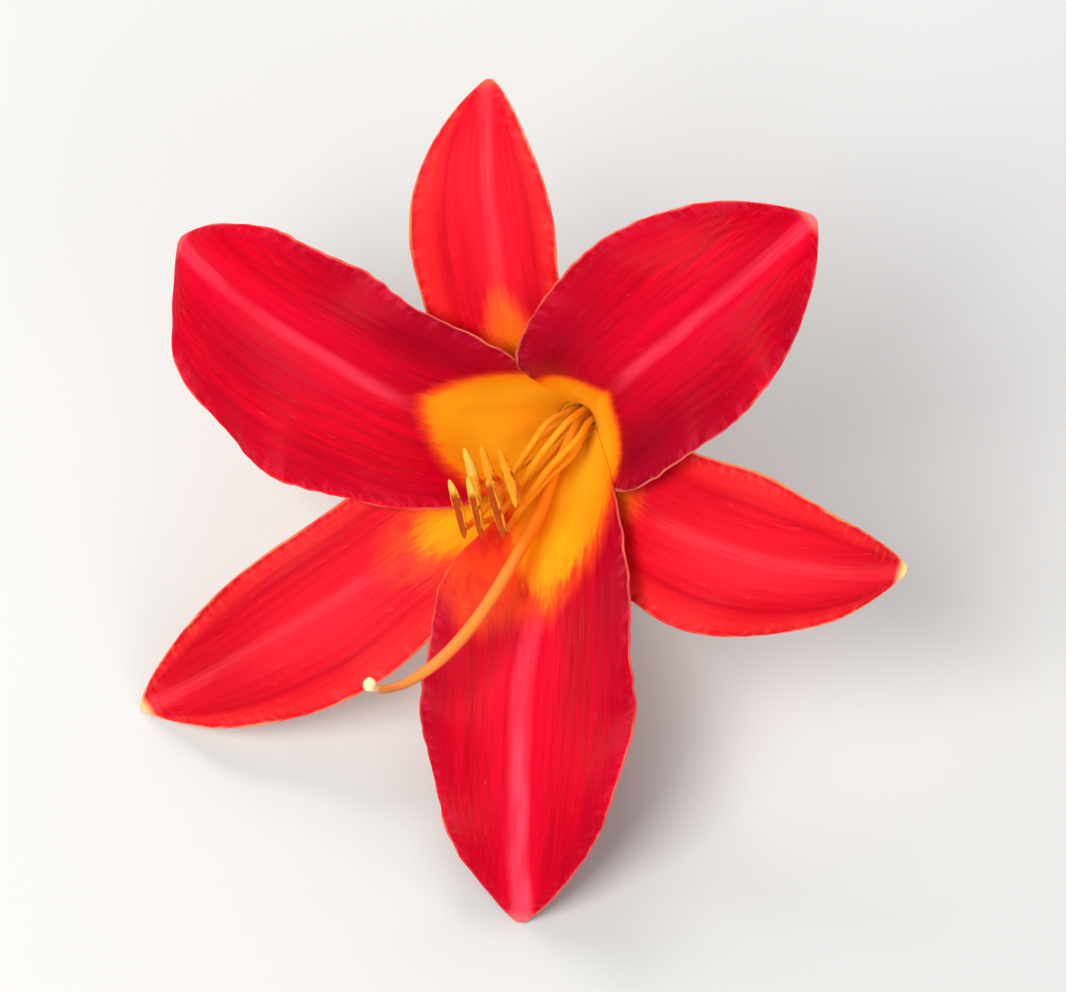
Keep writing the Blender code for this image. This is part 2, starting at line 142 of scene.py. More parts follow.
Blade = namedtuple(
    "Blade",
    "name kind azimuth swing length half_width widest_at spread curl "
    "ruffle waves phase tuck lopsided rib_off",
)
BLADES = (
    Blade(
        "sepal_top", SEPAL, 105, -7.5, 70 * MM, 11.7 * MM, 0.64, 84, 34,
        0.7 * MM, 2.6, 0.4, 0, 0, -0.15,
    ),
    Blade(
        "sepal_lower_left", SEPAL, 220, -5, 87 * MM, 13.2 * MM, 0.60, 80, 18,
        0.8 * MM, 3.0, 1.9, 0, 0.13, 0,
    ),
    Blade(
        "sepal_right", SEPAL, 333.5, 12.4, 72.5 * MM, 13.9 * MM, 0.60, 86, 28,
        1.2 * MM, 3.1, 3.2, 0, -0.06, 0,
    ),
    Blade(
        "petal_upper_right", PETAL, 39.5, 1.8, 76.5 * MM, 17.8 * MM, 0.64, 85, 36,
        1.9 * MM, 4.6, 0.0, 0, 0.09, 0,
    ),
    Blade(
        "petal_upper_left", PETAL, 160, -7.5, 82.3 * MM, 18.3 * MM, 0.68, 85, 42,
        2.1 * MM, 4.2, 2.2, 0, 0.1, -0.08,
    ),
    Blade(
        "petal_bottom", PETAL, 280.5, -9.6, 88 * MM, 17.4 * MM, 0.62, 80, 18,
        1.6 * MM, 4.4, 4.1, 0.36, -0.08, -0.16,
    ),
)
print("tepals:", ", ".join(blade.name for blade in BLADES))

# %% [markdown]
# ## The form of a tepal
#
# A tepal could be a flat sheet bent by modifiers. It is easier to say it as a surface: the midrib is a
# line that climbs out of the tube and opens outwards, the line is swept round the bloom's axis, and the
# section across gets a groove, a swelling on each side of it and a margin that waves. Two numbers name
# each point: `along`, from 0 at the tube to 1 at the tip, and `across`, from -1 to 1 between the margins.

# %% The midrib's line and the width
def blade_profile(blade):
    """The midrib at even steps: the slope from the axis eases from the funnel's to the open part's, and
    turns on towards the tip. Distance from the axis and height are the sums of its sine and cosine."""
    kind = blade.kind
    run = np.linspace(0, blade.length, PROFILE_STEPS + 1)
    opening = ease((run - kind.bend_start) / (kind.bend_end - kind.bend_start))
    turning = ease((run / blade.length - CURLS_FROM) / (1 - CURLS_FROM)) ** CURLING
    slope = np.radians(kind.funnel + (blade.spread - kind.funnel) * opening + blade.curl * turning)
    step = blade.length / PROFILE_STEPS
    between_steps = (slope[1:] + slope[:-1]) / 2
    outward = np.concatenate([[0], np.cumsum(np.sin(between_steps)) * step])
    upward = np.concatenate([[0], np.cumsum(np.cos(between_steps)) * step])
    foot = TUBE_LENGTH + GAP + SOLID_THICKNESS / 2 * math.sin(math.radians(kind.funnel))
    return run, kind.start_radius + outward, foot + upward, slope


def blade_half_width(blade, along, radius, lap_angle=0):
    """Half the width. It widens to its greatest and closes to the tip, but near the tube it is held to
    the funnel's wall: the high-power mean of the two follows whichever is less."""
    short_of_widest = np.clip((blade.widest_at - along) / THROAT_WIDENS_OVER, 0, 1)
    widening = 1 - (1 - blade.kind.throat_width) * short_of_widest**THROAT_WIDENING
    to_tip = np.clip((1 - along) / (1 - blade.widest_at), 0, 1)
    closing = np.sin(math.pi / 2 * to_tip**BLUNTNESS)
    free = blade.half_width * widening * closing + TIP_HALF_WIDTH
    wall = math.radians(blade.kind.base_angle + lap_angle) * radius
    return (free**-WALL_HOLD + wall**-WALL_HOLD) ** (-1 / WALL_HOLD)


def blade_lines(blade, along, lap_angle=0):
    """Distance from the axis, height and slope of the midrib at each along, and the half width there."""
    run, radii, heights, slopes = blade_profile(blade)
    radius, height, slope = (
        np.interp(along * blade.length, run, values) for values in (radii, heights, slopes)
    )
    return radius, height, slope, blade_half_width(blade, along, radius, lap_angle)


for blade in BLADES:
    reach = blade_profile(blade)[1][-1]
    print(f"{blade.name}: tip {reach / MM:.1f} mm from the axis")

# %% [markdown]
# No tepal is the same on both sides. The bottom petal's left margin is drawn in where it leaves the
# throat, most tepals are wider on one side where they are open, and some midribs run off the middle. Each
# could have its own outline, but two shares on the even outline say the same and leave the rule alone.

# %% Uneven sides
def unevenness(blade, along, across):
    """The share of the even half width that this side has, and the place from the midrib at 0 to the
    margins at -1 and 1: across less an offset that is full in the middle and nothing at the margins."""
    tuck = ease((along - TUCK_FROM) / TUCK_GROWS_OVER) * ease((TUCK_TO - along) / TUCK_ENDS_OVER)
    uneven = ease((along - UNEVEN_FROM) / UNEVEN_GROWS_OVER)
    share = (1 - blade.tuck * tuck * (across < 0)) * (1 + blade.lopsided * np.sign(across) * uneven)
    fading = ease((1 - along) / RELIEF_ENDS_OVER)
    return share, across - blade.rib_off * (1 - across**2) * uneven * fading


for blade in BLADES:
    wider, _ = unevenness(blade, 0.7, np.array([-1, 1]))
    print(f"{blade.name}: its sides where it is open, as shares of the even width: {wider.round(2)}")

# %% [markdown]
# ## Fine relief
#
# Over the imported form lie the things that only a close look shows. Veins run from the tube to the tip as
# low ridges. The midrib is a bundle of three such ridges in the groove. The petals' margins are crimped,
# which no solid of a few hundred faces can carry. A bump in the material would give the ridges too, but
# not the crimped outline. All of it is well under half a millimetre, so the outline stays the solid's.

# %% Skins and the numbers of the relief
Skin = namedtuple("Skin", "vein_height vein_count rib_height crimp crimps scallop margin_thickness keel")
PETAL_SKIN = Skin(0.045 * MM, 10, 0.10 * MM, 0.30 * MM, 19, 0.008, 0.34 * MM, 0.30 * MM)
SEPAL_SKIN = Skin(0.045 * MM, 8, 0.06 * MM, 0.08 * MM, 13, 0.003, 0.42 * MM, 0.35 * MM)
FINE_FROM = 0.22
FINE_GROWS_OVER = 0.2
FINE_ENDS_OVER = 0.1
VEINS_CROWD = 0.9
VEINS_WANDER = 0.22
VEIN_SHARPNESS = 3
VEINS_STAY_INSIDE = 8
RIB_SPACING = 0.9 * MM
RIB_REACH = 1.3 * MM
CRIMPS_AT_MARGIN = 9
CRIMPS_OUT_OF_STEP = 2
SCALLOPS_AT_MARGIN = 6
SCALLOPS_PER_CRIMP = 0.7
LAP_ANGLE = 7.5
LAP_RISE = 0.18 * MM
LAPS_TO = 0.5
LAP_ENDS_OVER = 0.2


def skin_of(blade):
    return PETAL_SKIN if blade.kind is PETAL else SEPAL_SKIN


def fine_relief(blade, along, from_rib, side):
    """Height added to a tepal's face: narrow ridges at even steps of from_rib, three ridges beside the
    midrib, and waves that grow with a high power of from_rib and so stay at the margin. The place
    from_rib is counted from the midrib, and so is the distance side."""
    skin = skin_of(blade)
    out = np.abs(from_rib)
    which = np.sign(from_rib)
    ends = ease((along - FINE_FROM) / FINE_GROWS_OVER) * ease((1 - along) / FINE_ENDS_OVER)
    place = out**VEINS_CROWD * skin.vein_count + VEINS_WANDER * wander(9 * along, blade.phase + which)
    ridge = (0.5 + 0.5 * np.cos(2 * math.pi * place)) ** VEIN_SHARPNESS
    veins = skin.vein_height * ridge * ends * (1 - out**VEINS_STAY_INSIDE)
    strands = np.cos(2 * math.pi * side / RIB_SPACING) * np.exp(-((side / RIB_REACH) ** 2))
    rib = skin.rib_height * strands * ends
    beat = skin.crimps * along + 0.5 * wander(7 * along, blade.phase)
    beat = 2 * math.pi * beat + CRIMPS_OUT_OF_STEP * which
    swell = 0.6 + 0.4 * wander(15 * along, 1.7 * blade.phase + which)
    crimp = skin.crimp * out**CRIMPS_AT_MARGIN * np.sin(beat) * swell * ends
    return veins + rib + crimp


print("heights of a petal's veins, midrib and crimps in mm:", [
    round(height / MM, 3) for height in (PETAL_SKIN.vein_height, PETAL_SKIN.rib_height, PETAL_SKIN.crimp)
])

# %% [markdown]
# The fine petals overlap a little at the throat, as real ones do, one margin over its neighbour. The
# solids stop short of each other there. `fine` is 0 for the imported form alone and 1 for all of it.

# %% The middle of a tepal
def blade_middle(blade, along, across, fine):
    """The midrib's point, turned round the axis by the distance across over the radius, and raised square
    to the slope by the groove, the pillow, the lifted margin, the waves and the fine relief."""
    kind = blade.kind
    skin = skin_of(blade)
    lap = fine * (kind is PETAL)
    radius, height, slope, half_width = blade_lines(blade, along, lap * LAP_ANGLE)
    share, from_rib = unevenness(blade, along, across)
    side = across * half_width * share
    beat = 2 * math.pi * skin.crimps * SCALLOPS_PER_CRIMP * along + blade.phase
    scallop = skin.scallop * np.abs(across) ** SCALLOPS_AT_MARGIN * wander(beat, blade.phase)
    side = side * (1 + fine * scallop)
    azimuth = np.radians(blade.azimuth + blade.swing * along**SWINGING) + side / radius
    opened = ease((along - RELIEF_FROM) / RELIEF_GROWS_OVER)
    fading = ease((1 - along) / RELIEF_ENDS_OVER)
    groove = np.exp(-((from_rib * half_width / GROOVE_HALF_WIDTH) ** 2))
    groove *= -kind.groove * ease(along / GROOVE_FULL_AT) * fading
    pillow = kind.pillow * np.sin(math.pi * np.abs(from_rib)) * opened * fading
    lift = kind.lift * across**4 * opened * fading
    wave = 2 * math.pi * blade.waves * along + blade.phase + MARGINS_OUT_OF_STEP * np.sign(across)
    ruffle = blade.ruffle * np.abs(across) ** WAVES_AT_MARGIN * np.sin(wave) * opened
    ruffle *= ease((1 - along) / WAVES_END_OVER)
    rise = groove + pillow + lift + ruffle
    rise += fine * fine_relief(blade, along, from_rib, from_rib * half_width)
    rise += lap * LAP_RISE * across * ease((LAPS_TO - along) / LAP_ENDS_OVER)
    outward = radius - rise * np.cos(slope)
    upward = height + rise * np.sin(slope)
    return np.stack([outward * np.cos(azimuth), outward * np.sin(azimuth), upward], axis=-1)


for blade in BLADES:
    foot = blade_middle(blade, np.array([0.0]), np.array([0.0]), 0)
    print(f"{blade.name}: foot of the midrib in mm", (foot[0] / MM).round(1))

# %% [markdown]
# ## Where the bloom lies
#
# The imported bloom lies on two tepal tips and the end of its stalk, turned by an amount that was worked out
# from its weight. The turn isn't written down anywhere, but it can be found again. The formula gives the
# middle of each tepal in the bloom's own frame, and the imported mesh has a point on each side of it, one
# solid thickness apart, where the bloom lies. The tepals' means give a first turn. With it, each middle
# point finds its own pair of packed points, and all the pairs together give the turn to within a
# thousandth of a millimetre. Points that were pressed flat or joined have no such pair and drop out.

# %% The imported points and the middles
SAME_POINT_DECIMALS = 6


def packed_points(name):
    """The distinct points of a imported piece, whose triangles are loose."""
    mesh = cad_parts[name].data
    points = np.empty(len(mesh.vertices) * 3, np.float32)
    mesh.vertices.foreach_get("co", points)
    return np.unique(points.reshape(-1, 3).astype(float).round(SAME_POINT_DECIMALS), axis=0)


def solid_middle(blade):
    """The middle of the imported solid's grid by the formula."""
    along, across = np.meshgrid(
        1 - np.linspace(1, 0, blade.kind.rows + 1) ** ROWS_CLOSE_UP,
        np.linspace(-1, 1, blade.kind.columns + 1),
        indexing="ij",
    )
    return blade_middle(blade, along, across, 0).reshape(-1, 3)


middles = {blade.name: solid_middle(blade) for blade in BLADES}
packed = {blade.name: packed_points(blade.name) for blade in BLADES}
for name in middles:
    print(f"{name}: {len(packed[name])} packed points for {len(middles[name])} middle points")

# %% Find the turn and shift
PLACED_WITHIN = 0.005 * MM
COUNT_WITHIN = 0.02
FITTING_ROUNDS = 5


def best_turn(start, end):
    """The turn and shift that carry the start points onto the end points with the least squared error:
    the two orthogonal factors of the points' covariance, with a mirror image ruled out."""
    start_mean = start.mean(axis=0)
    end_mean = end.mean(axis=0)
    left, _, right = np.linalg.svd((start - start_mean).T @ (end - end_mean))
    keep = np.diag([1, 1, np.sign(np.linalg.det(left @ right))])
    turn = right.T @ keep @ left.T
    return turn, end_mean - turn @ start_mean


def own_pairs(middle, placed, points):
    """The middle points whose two nearest packed points are one thickness apart, and what lies halfway
    between the two."""
    apart = np.linalg.norm(placed[:, None] - points[None], axis=-1)
    two = points[np.argpartition(apart, 1, axis=1)[:, :2]]
    thickness = np.linalg.norm(two[:, 0] - two[:, 1], axis=-1)
    own = np.abs(thickness - SOLID_THICKNESS) < PLACED_WITHIN
    return middle[own], two[own].mean(axis=1)


whole = [
    name for name in middles if abs(len(packed[name]) / len(middles[name]) / 2 - 1) < COUNT_WITHIN
]
TURN, SHIFT = best_turn(
    np.array([middles[name].mean(axis=0) for name in whole]),
    np.array([packed[name].mean(axis=0) for name in whole]),
)
for _ in range(FITTING_ROUNDS):
    found = [
        own_pairs(middles[name], middles[name] @ TURN.T + SHIFT, packed[name]) for name in middles
    ]
    starts, ends = (np.concatenate(side) for side in zip(*found))
    TURN, SHIFT = best_turn(starts, ends)
errors = np.linalg.norm(starts @ TURN.T + SHIFT - ends, axis=-1) / MM
print(f"pairs used: {len(starts)}, middle error {np.median(errors):.5f} mm, largest {errors.max():.4f} mm")
print("the bloom's axis in the world:", (TURN @ np.array([0, 0, 1])).round(3))

# %% Carry points to the world
def to_world(points):
    """Points of the bloom's own frame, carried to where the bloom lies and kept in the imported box."""
    low, high = (np.array(corner) for corner in cad_box)
    return np.clip(points @ TURN.T + SHIFT, low, high)


print("the tube's base in the world, in mm:", (to_world(np.zeros(3)) / MM).round(1))

# %% [markdown]
# ## From surfaces to closed meshes
#
# A surface of two parameters is a grid of points, and two builders close such grids. `two_sided` lays a
# front and a back grid together along one shared border, as the two skins of a tepal meet at its margin.
# `ringed` joins rings of points and closes each end on a point, as for a stalk. Both also lay out a UV map
# for baking, in which no two faces share a place.
#
# Solidify could give a tepal its back. It gives one thickness all over, though, and a tepal is thick at
# the midrib and thin at the margin.

# %% Two skins with one border
UV_MARGIN = 0.01


def quads(index):
    """The four corners of each cell of a grid of point numbers: down, then over."""
    corners = [index[:-1, :-1], index[1:, :-1], index[1:, 1:], index[:-1, 1:]]
    return np.stack(corners, axis=-1).reshape(-1, 4)


def two_sided(front, back):
    """Points, faces and UVs of two equal grids. Their border points are shared, so the back gives only
    its inner points. The front fills the left half of the UV square and the back the right half."""
    rows, columns, parts = front.shape
    front_index = np.arange(rows * columns).reshape(rows, columns)
    inner_index = rows * columns + np.arange((rows - 2) * (columns - 2))
    back_index = front_index.copy()
    back_index[1:-1, 1:-1] = inner_index.reshape(rows - 2, columns - 2)
    faces = np.concatenate([quads(front_index), quads(back_index)[:, ::-1]])
    down, over = np.meshgrid(np.linspace(0, 1, rows), np.linspace(0, 1, columns), indexing="ij")
    over = UV_MARGIN + over * (0.5 - 2 * UV_MARGIN)
    down = UV_MARGIN + down * (1 - 2 * UV_MARGIN)
    left = np.stack([over, down], axis=-1).reshape(-1, 2)[quads(front_index)]
    right = np.stack([1 - over, down], axis=-1).reshape(-1, 2)[quads(front_index)[:, ::-1]]
    points = np.concatenate([front.reshape(-1, parts), back[1:-1, 1:-1].reshape(-1, parts)])
    return points, faces.tolist(), np.concatenate([left, right]).reshape(-1, 2)


square = np.zeros((4, 4, 3))
print("points and faces of two 4 by 4 grids:", [len(part) for part in two_sided(square, square)[:2]])

# %% Rings with closed ends
UV_CAP = 0.04


def ringed(rings):
    """Points, faces and UVs of rings joined in turn. Each end is a fan round the mean of its ring. The
    ring's points run once across the UV square, the rings run up it, and the fans take its two ends."""
    count, around, parts = rings.shape
    index = np.arange(count * around).reshape(count, around)
    index = np.concatenate([index, index[:, :1]], axis=1)
    over, up = np.meshgrid(np.linspace(0, 1, around + 1), np.linspace(UV_CAP, 1 - UV_CAP, count))
    spread = np.stack([over, up], axis=-1)
    middle = (over[0, 1:] + over[0, :-1]) / 2
    faces = quads(index)[:, ::-1].tolist()
    flat = np.arange(count * (around + 1)).reshape(count, around + 1)
    uvs = [spread.reshape(-1, 2)[quads(flat)[:, ::-1]]]
    ahead = slice(1, None)
    behind = slice(None, -1)
    for end, ring, first, second in ((0, 0, ahead, behind), (1, -1, behind, ahead)):
        hub = np.full(around, count * around + end)
        faces += np.stack([hub, index[ring, first], index[ring, second]], axis=-1).tolist()
        hub_uv = np.stack([middle, np.full(around, end)], axis=-1)
        uvs.append(np.stack([hub_uv, spread[ring, first], spread[ring, second]], axis=1))
    points = np.concatenate([rings.reshape(-1, parts), rings[:1].mean(axis=1), rings[-1:].mean(axis=1)])
    return points, faces, np.concatenate([part.reshape(-1, 2) for part in uvs])


print("points and faces of 4 rings of 4:", [len(part) for part in ringed(square)[:2]])

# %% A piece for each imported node
BAKE_MAP = "OFBake"
collection = bpy.data.collections.new("bloom")
bpy.context.scene.collection.children.link(collection)
made_pieces = {}


def make_piece(node, surface, values):
    """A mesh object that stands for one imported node. The surface is points, faces and UVs in the bloom's
    own frame. The values are the named numbers or vectors that its material reads at each point."""
    points, faces, uv = surface
    mesh = bpy.data.meshes.new(node + "_fine")
    mesh.from_pydata(to_world(points).tolist(), [], faces)
    mesh.uv_layers.new(name=BAKE_MAP).uv.foreach_set("vector", uv.astype(np.float32).ravel())
    for name, numbers in values.items():
        kind, field = ("FLOAT", "value") if numbers.ndim == 1 else ("FLOAT_VECTOR", "vector")
        attribute = mesh.attributes.new(name, kind, "POINT")
        attribute.data.foreach_set(field, numbers.astype(np.float32).ravel())
    mesh.shade_smooth()
    mesh.update()
    piece = bpy.data.objects.new(node + "_fine", mesh)
    collection.objects.link(piece)
    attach(piece, "root")
    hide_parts(node)
    made_pieces[node] = piece
    return piece


def tell(piece):
    """Prints a piece's triangles and the volume inside them: a sixth of the sum of each triangle's
    corners' triple product. It is negative if the faces look inwards."""
    mesh = piece.data
    mesh.calc_loop_triangles()
    corners = np.empty(len(mesh.loop_triangles) * 3, np.int32)
    mesh.loop_triangles.foreach_get("vertices", corners)
    places = np.empty(len(mesh.vertices) * 3, np.float32)
    mesh.vertices.foreach_get("co", places)
    a, b, c = places.reshape(-1, 3).astype(float)[corners].reshape(-1, 3, 3).transpose(1, 0, 2)
    volume = np.einsum("ij,ij->i", a, np.cross(b, c)).sum() / 6
    print(f"{piece.name}: {len(mesh.loop_triangles)} triangles, {volume / MM**3:.1f} mm3")


# %% [markdown]
# ## The golden throat, painted shade and marks
#
# Each tepal's colours lie a little differently. In the throat all turn golden, and the gold reaches farthest
# along the middle. Here and there a tepal is darker, above all on the flanks that fold into the throat. This
# is painted shade, and partly the tepal's own darker red. The midribs and tips are paler. All this could be
# painted by hand into a picture. A few numbers a tepal say it as well, and stay sharp however close the
# camera comes.
#
# A throat says how many millimetres from the tube the gold reaches, how much less towards the margins and
# by what power, where across it reaches farthest and how it slants, how soft and ragged its border is, how
# far an orange flush runs on beyond it and how strongly, and how far ahead the flush is on the left side.
# A shade spot is a soft spot of painted shade, with its place across and along, its size each way and its
# strength. Marks are the shares of pale colour at the tip and on the midrib, and the midrib's half width in
# millimetres.

# %% Throats, spots of painted shade and marks of the six tepals
Throat = namedtuple("Throat", "reach fall power middle slant softness ragged glow warmth blush_before")
THROATS = {
    "sepal_top": Throat(32.8, 24, 1.3, -0.1, 0, 8.0, 2.0, 7, 0.9, 0),
    "sepal_lower_left": Throat(34.7, 15, 1.6, 0.1, 0, 2.1, 3.0, 9, 0.5, 0),
    "sepal_right": Throat(25.6, 12, 1.6, 0, 0, 4.5, 3.0, 5, 0.5, 0),
    "petal_upper_right": Throat(29.4, 10, 1.1, 0, -3.5, 1.5, 1.4, 2.0, 0.85, 0),
    "petal_upper_left": Throat(33, 13, 1.1, -0.12, 3, 1.3, 1.6, 2.4, 0.85, 0),
    "petal_bottom": Throat(37.5, 16, 1.1, 0.04, 2, 2.4, 4.5, 5, 0.85, 17),
}
ShadeSpot = namedtuple("ShadeSpot", "across along wide long strength")
# Spots of painted shade, most on the flanks that fold into the throat, and partly the tepals' own darker
# red.
SHADE_SPOTS = {
    "sepal_top": (ShadeSpot(-0.9, 0.42, 0.6, 0.15, 0.7), ShadeSpot(0.9, 0.42, 0.5, 0.15, 0.4)),
    "sepal_lower_left": (
        ShadeSpot(-0.75, 0.62, 0.3, 0.25, 0.3),
        ShadeSpot(0, 0.84, 0.9, 0.12, 0.55),
        ShadeSpot(-0.95, 0.8, 0.3, 0.1, 0.5),
    ),
    "sepal_right": (ShadeSpot(0.8, 0.4, 0.6, 0.15, 0.5), ShadeSpot(-0.6, 0.9, 0.6, 0.1, 0.3)),
    "petal_upper_right": (
        ShadeSpot(-0.87, 0.43, 0.55, 0.2, 0.97),
        ShadeSpot(0.9, 0.36, 0.6, 0.22, 0.85),
        ShadeSpot(-0.3, 0.78, 0.35, 0.14, 0.25),
    ),
    "petal_upper_left": (ShadeSpot(-0.95, 0.46, 0.6, 0.2, 0.8), ShadeSpot(0.3, 0.73, 0.25, 0.18, 0.35)),
    "petal_bottom": (ShadeSpot(0.9, 0.44, 0.35, 0.14, 0.7), ShadeSpot(-0.9, 0.55, 0.3, 0.16, 0.35)),
}
Marks = namedtuple("Marks", "pale_tip rib rib_reach")
MARKS = {
    "sepal_top": Marks(0.1, 0.35, 1.9),
    "sepal_lower_left": Marks(0.8, 0.25, 1.9),
    "sepal_right": Marks(1.0, 0.25, 1.9),
    "petal_upper_right": Marks(0.6, 0.7, 1.7),
    "petal_upper_left": Marks(0.3, 0.5, 1.9),
    "petal_bottom": Marks(0.4, 0.85, 2.4),
}
LEFT_SIDE_FROM = 0.1


def gold_inside(throat, across, run):
    """How far inside the gold a point lies, in mm. The gold reaches farthest at the throat's middle."""
    fall = throat.fall * np.abs(across - throat.middle) ** throat.power
    return throat.reach - fall + throat.slant * across - run / MM


def painted_shade(blade, along, across):
    """Painted shade: the sum of a few soft spots, each a bell over across and along, darker than the rest.
    """
    dark = 0 * along
    for spot in SHADE_SPOTS[blade.name]:
        sideways = (across - spot.across) / spot.wide
        lengthways = (along - spot.along) / spot.long
        dark += spot.strength * np.exp(-(sideways**2) - lengthways**2)
    return np.clip(dark, 0, 1)


print("darker spots in all:", sum(len(tones) for tones in SHADE_SPOTS.values()))

# %% [markdown]
# ## The skins of a tepal
#
# Each skin is the middle surface moved out along its own normal. The real tepal is about half a millimetre
# thick with a keel behind the midrib, and thins to a rounded margin. The distance from the nearest margin
# makes the thickness fall to nothing there in a quarter circle, so the skins meet in a soft edge.

# %% Grid and thickness
ROWS = 216
COLUMNS = 124
COLUMNS_CROWD = 0.4
RIM = 0.22 * MM
BODY = 0.1 * MM
KEEL_HALF_WIDTH = 1.5 * MM
KEEL_ENDS_OVER = 0.15


def tepal_grid():
    """The values of along and across at the grid's points, closer together towards tip and margins."""
    even = np.linspace(-1, 1, COLUMNS + 1)
    crowded = (1 - COLUMNS_CROWD) * even + COLUMNS_CROWD * np.sin(math.pi / 2 * even)
    down = 1 - np.linspace(1, 0, ROWS + 1) ** ROWS_CLOSE_UP
    return np.meshgrid(down, crowded, indexing="ij")


def rim_fullness(distance):
    """0 on the margin and 1 from RIM inwards, along a quarter circle."""
    return np.sqrt(1 - (1 - np.clip(distance / RIM, 0, 1)) ** 2)


def skins_of(blade, along, across, rib_side, half_width):
    """The front and back grids: the middle moved both ways along its normal, by half the margin's
    thickness, a little more inwards of it, and behind by a bell-shaped keel along the midrib."""
    skin = skin_of(blade)
    middle = blade_middle(blade, along, across, 1)
    normal = np.cross(np.gradient(middle, axis=0), np.gradient(middle, axis=1))
    normal /= np.linalg.norm(normal, axis=-1, keepdims=True)
    run = along * blade.length
    edge = np.minimum((1 - np.abs(across)) * half_width, np.minimum(blade.length - run, run))
    full = rim_fullness(edge)
    body = skin.margin_thickness / 2 + BODY * (1 - np.abs(across) ** 3)
    keel = skin.keel * np.exp(-((rib_side / KEEL_HALF_WIDTH) ** 2)) * ease((1 - along) / KEEL_ENDS_OVER)
    front = middle + normal * (body * full)[..., None]
    back = middle - normal * ((body + keel) * full)[..., None]
    return front, back


print("points on one skin:", tepal_grid()[0].size)

# %% [markdown]
# The points carry what the finishes need, because a material can't know where on a tepal it is. `lie` is the
# place in millimetres that patterns follow, set apart for each tepal and each side. `place` holds the shares
# across and along and which side it is, `reach` the distances to midrib, margin and gold, and `glow` how
# deep in the orange flush it lies. Numbers that hold for one whole tepal ride along in `soft` and `marks`,
# and `marks` also carries the painted shade at each point. Six materials would do without them, but each
# change would have to be made six times.

# %% The six tepals
TEPALS_APART = 60
BACK_APART = 40


def tepal(blade, number):
    """The two skins of a tepal, and the values that their points carry."""
    along, across = tepal_grid()
    _, _, _, even_half_width = blade_lines(blade, along, LAP_ANGLE * (blade.kind is PETAL))
    share, from_rib = unevenness(blade, along, across)
    rib_side = from_rib * even_half_width
    half_width = even_half_width * share
    run = along * blade.length
    throat = THROATS[blade.name]
    marks = MARKS[blade.name]
    gold = gold_inside(throat, across, run)
    glow = (gold + throat.blush_before * ease(LEFT_SIDE_FROM - across)) / throat.glow
    even = 0 * along
    margin = (1 - np.abs(across)) * half_width / MM
    each_side = [
        {
            "lie": (
                across * half_width / MM + TEPALS_APART * number,
                run / MM,
                even + BACK_APART * behind,
            ),
            "place": (from_rib, along, even + behind),
            "reach": (np.abs(rib_side) / MM / marks.rib_reach, margin, gold),
            "soft": (even + throat.softness, even + throat.ragged, even + throat.warmth),
            # The third of the marks is the painted shade at each point.
            "marks": (even + marks.rib, even + marks.pale_tip, painted_shade(blade, along, from_rib)),
            "glow": (glow,),
        }
        for behind in (0, 1)
    ]
    values = {}
    for name in each_side[0]:
        front, back = (np.stack(side[name], axis=-1) for side in each_side)
        values[name] = two_sided(front, back)[0].squeeze()
    skins = skins_of(blade, along, across, rib_side, half_width)
    return make_piece(blade.name, two_sided(*skins), values)


for number, blade in enumerate(BLADES):
    tell(tepal(blade, number))

# %% [markdown]
# ## Stamens and pistil
#
# Six filaments rise from the tube in one bundle, part as they lean towards the lower lip, and each carries
# an anther on its tip. The style is longer, and bends down, to the left and up again to a small pale
# stigma. A curve with a bevel would do for the stalks. A ring of points carried along a path also gives
# each point its place along the stalk, which the colours follow.

# %% Paths and strands
RIBS_ROUND_A_STRAND = 6
STRANDS_APART = 17


def smooth_path(points, count):
    """Points at even steps of the Catmull-Rom curve through the given ones, with both ends mirrored on."""
    points = np.array(points, float)
    ends = np.concatenate([[2 * points[0] - points[1]], points, [2 * points[-1] - points[-2]]])
    steps = np.linspace(0, len(points) - 1, count)
    first = np.minimum(steps.astype(int), len(points) - 2)
    t = (steps - first)[:, None]
    a, b, c, d = (ends[first + k] for k in range(4))
    cubic = (3 * b - a - 3 * c + d) * t**3
    return (2 * b + (c - a) * t + (2 * a - 5 * b + 4 * c - d) * t**2 + cubic) / 2


def strand_rings(path, radii, around, ribs):
    """Rings of points round a path. Each lies square to the path, in the plane of the path's direction
    crossed with +X and crossed again. ribs is the height of low ridges along it, as a share."""
    tangent = np.gradient(path, axis=0)
    tangent /= np.linalg.norm(tangent, axis=1, keepdims=True)
    one = np.cross(tangent, [1, 0, 0])
    one /= np.linalg.norm(one, axis=1, keepdims=True)
    two = np.cross(tangent, one)
    turn = np.linspace(0, 2 * math.pi, around, endpoint=False)
    reach = radii[:, None] * (1 + ribs * np.cos(RIBS_ROUND_A_STRAND * turn))
    sideways = np.cos(turn)[:, None] * one[:, None] + np.sin(turn)[:, None] * two[:, None]
    return path[:, None] + reach[..., None] * sideways


def strand_values(path, radii, around, number):
    """Where each point of the rings lies: round the strand and along it in mm, and along it from 0 to 1.
    The number sets the pattern of each strand apart."""
    run = np.concatenate([[0], np.cumsum(np.linalg.norm(np.diff(path, axis=0), axis=1))]) / MM
    turn = np.linspace(0, 2 * math.pi, around, endpoint=False)
    lengthwise, over = np.meshgrid(run, turn, indexing="ij")
    reach = radii[:, None] / MM
    lie = [np.cos(over) * reach + STRANDS_APART * number, lengthwise, np.sin(over) * reach]
    along = (lengthwise / run[-1])[..., None]
    return {"lie": ringed(np.stack(lie, axis=-1))[0], "along": ringed(along)[0][:, 0]}


print("halfway between two points a unit apart:", smooth_path([(0, 0, 0), (1, 0, 0)], 3)[1])

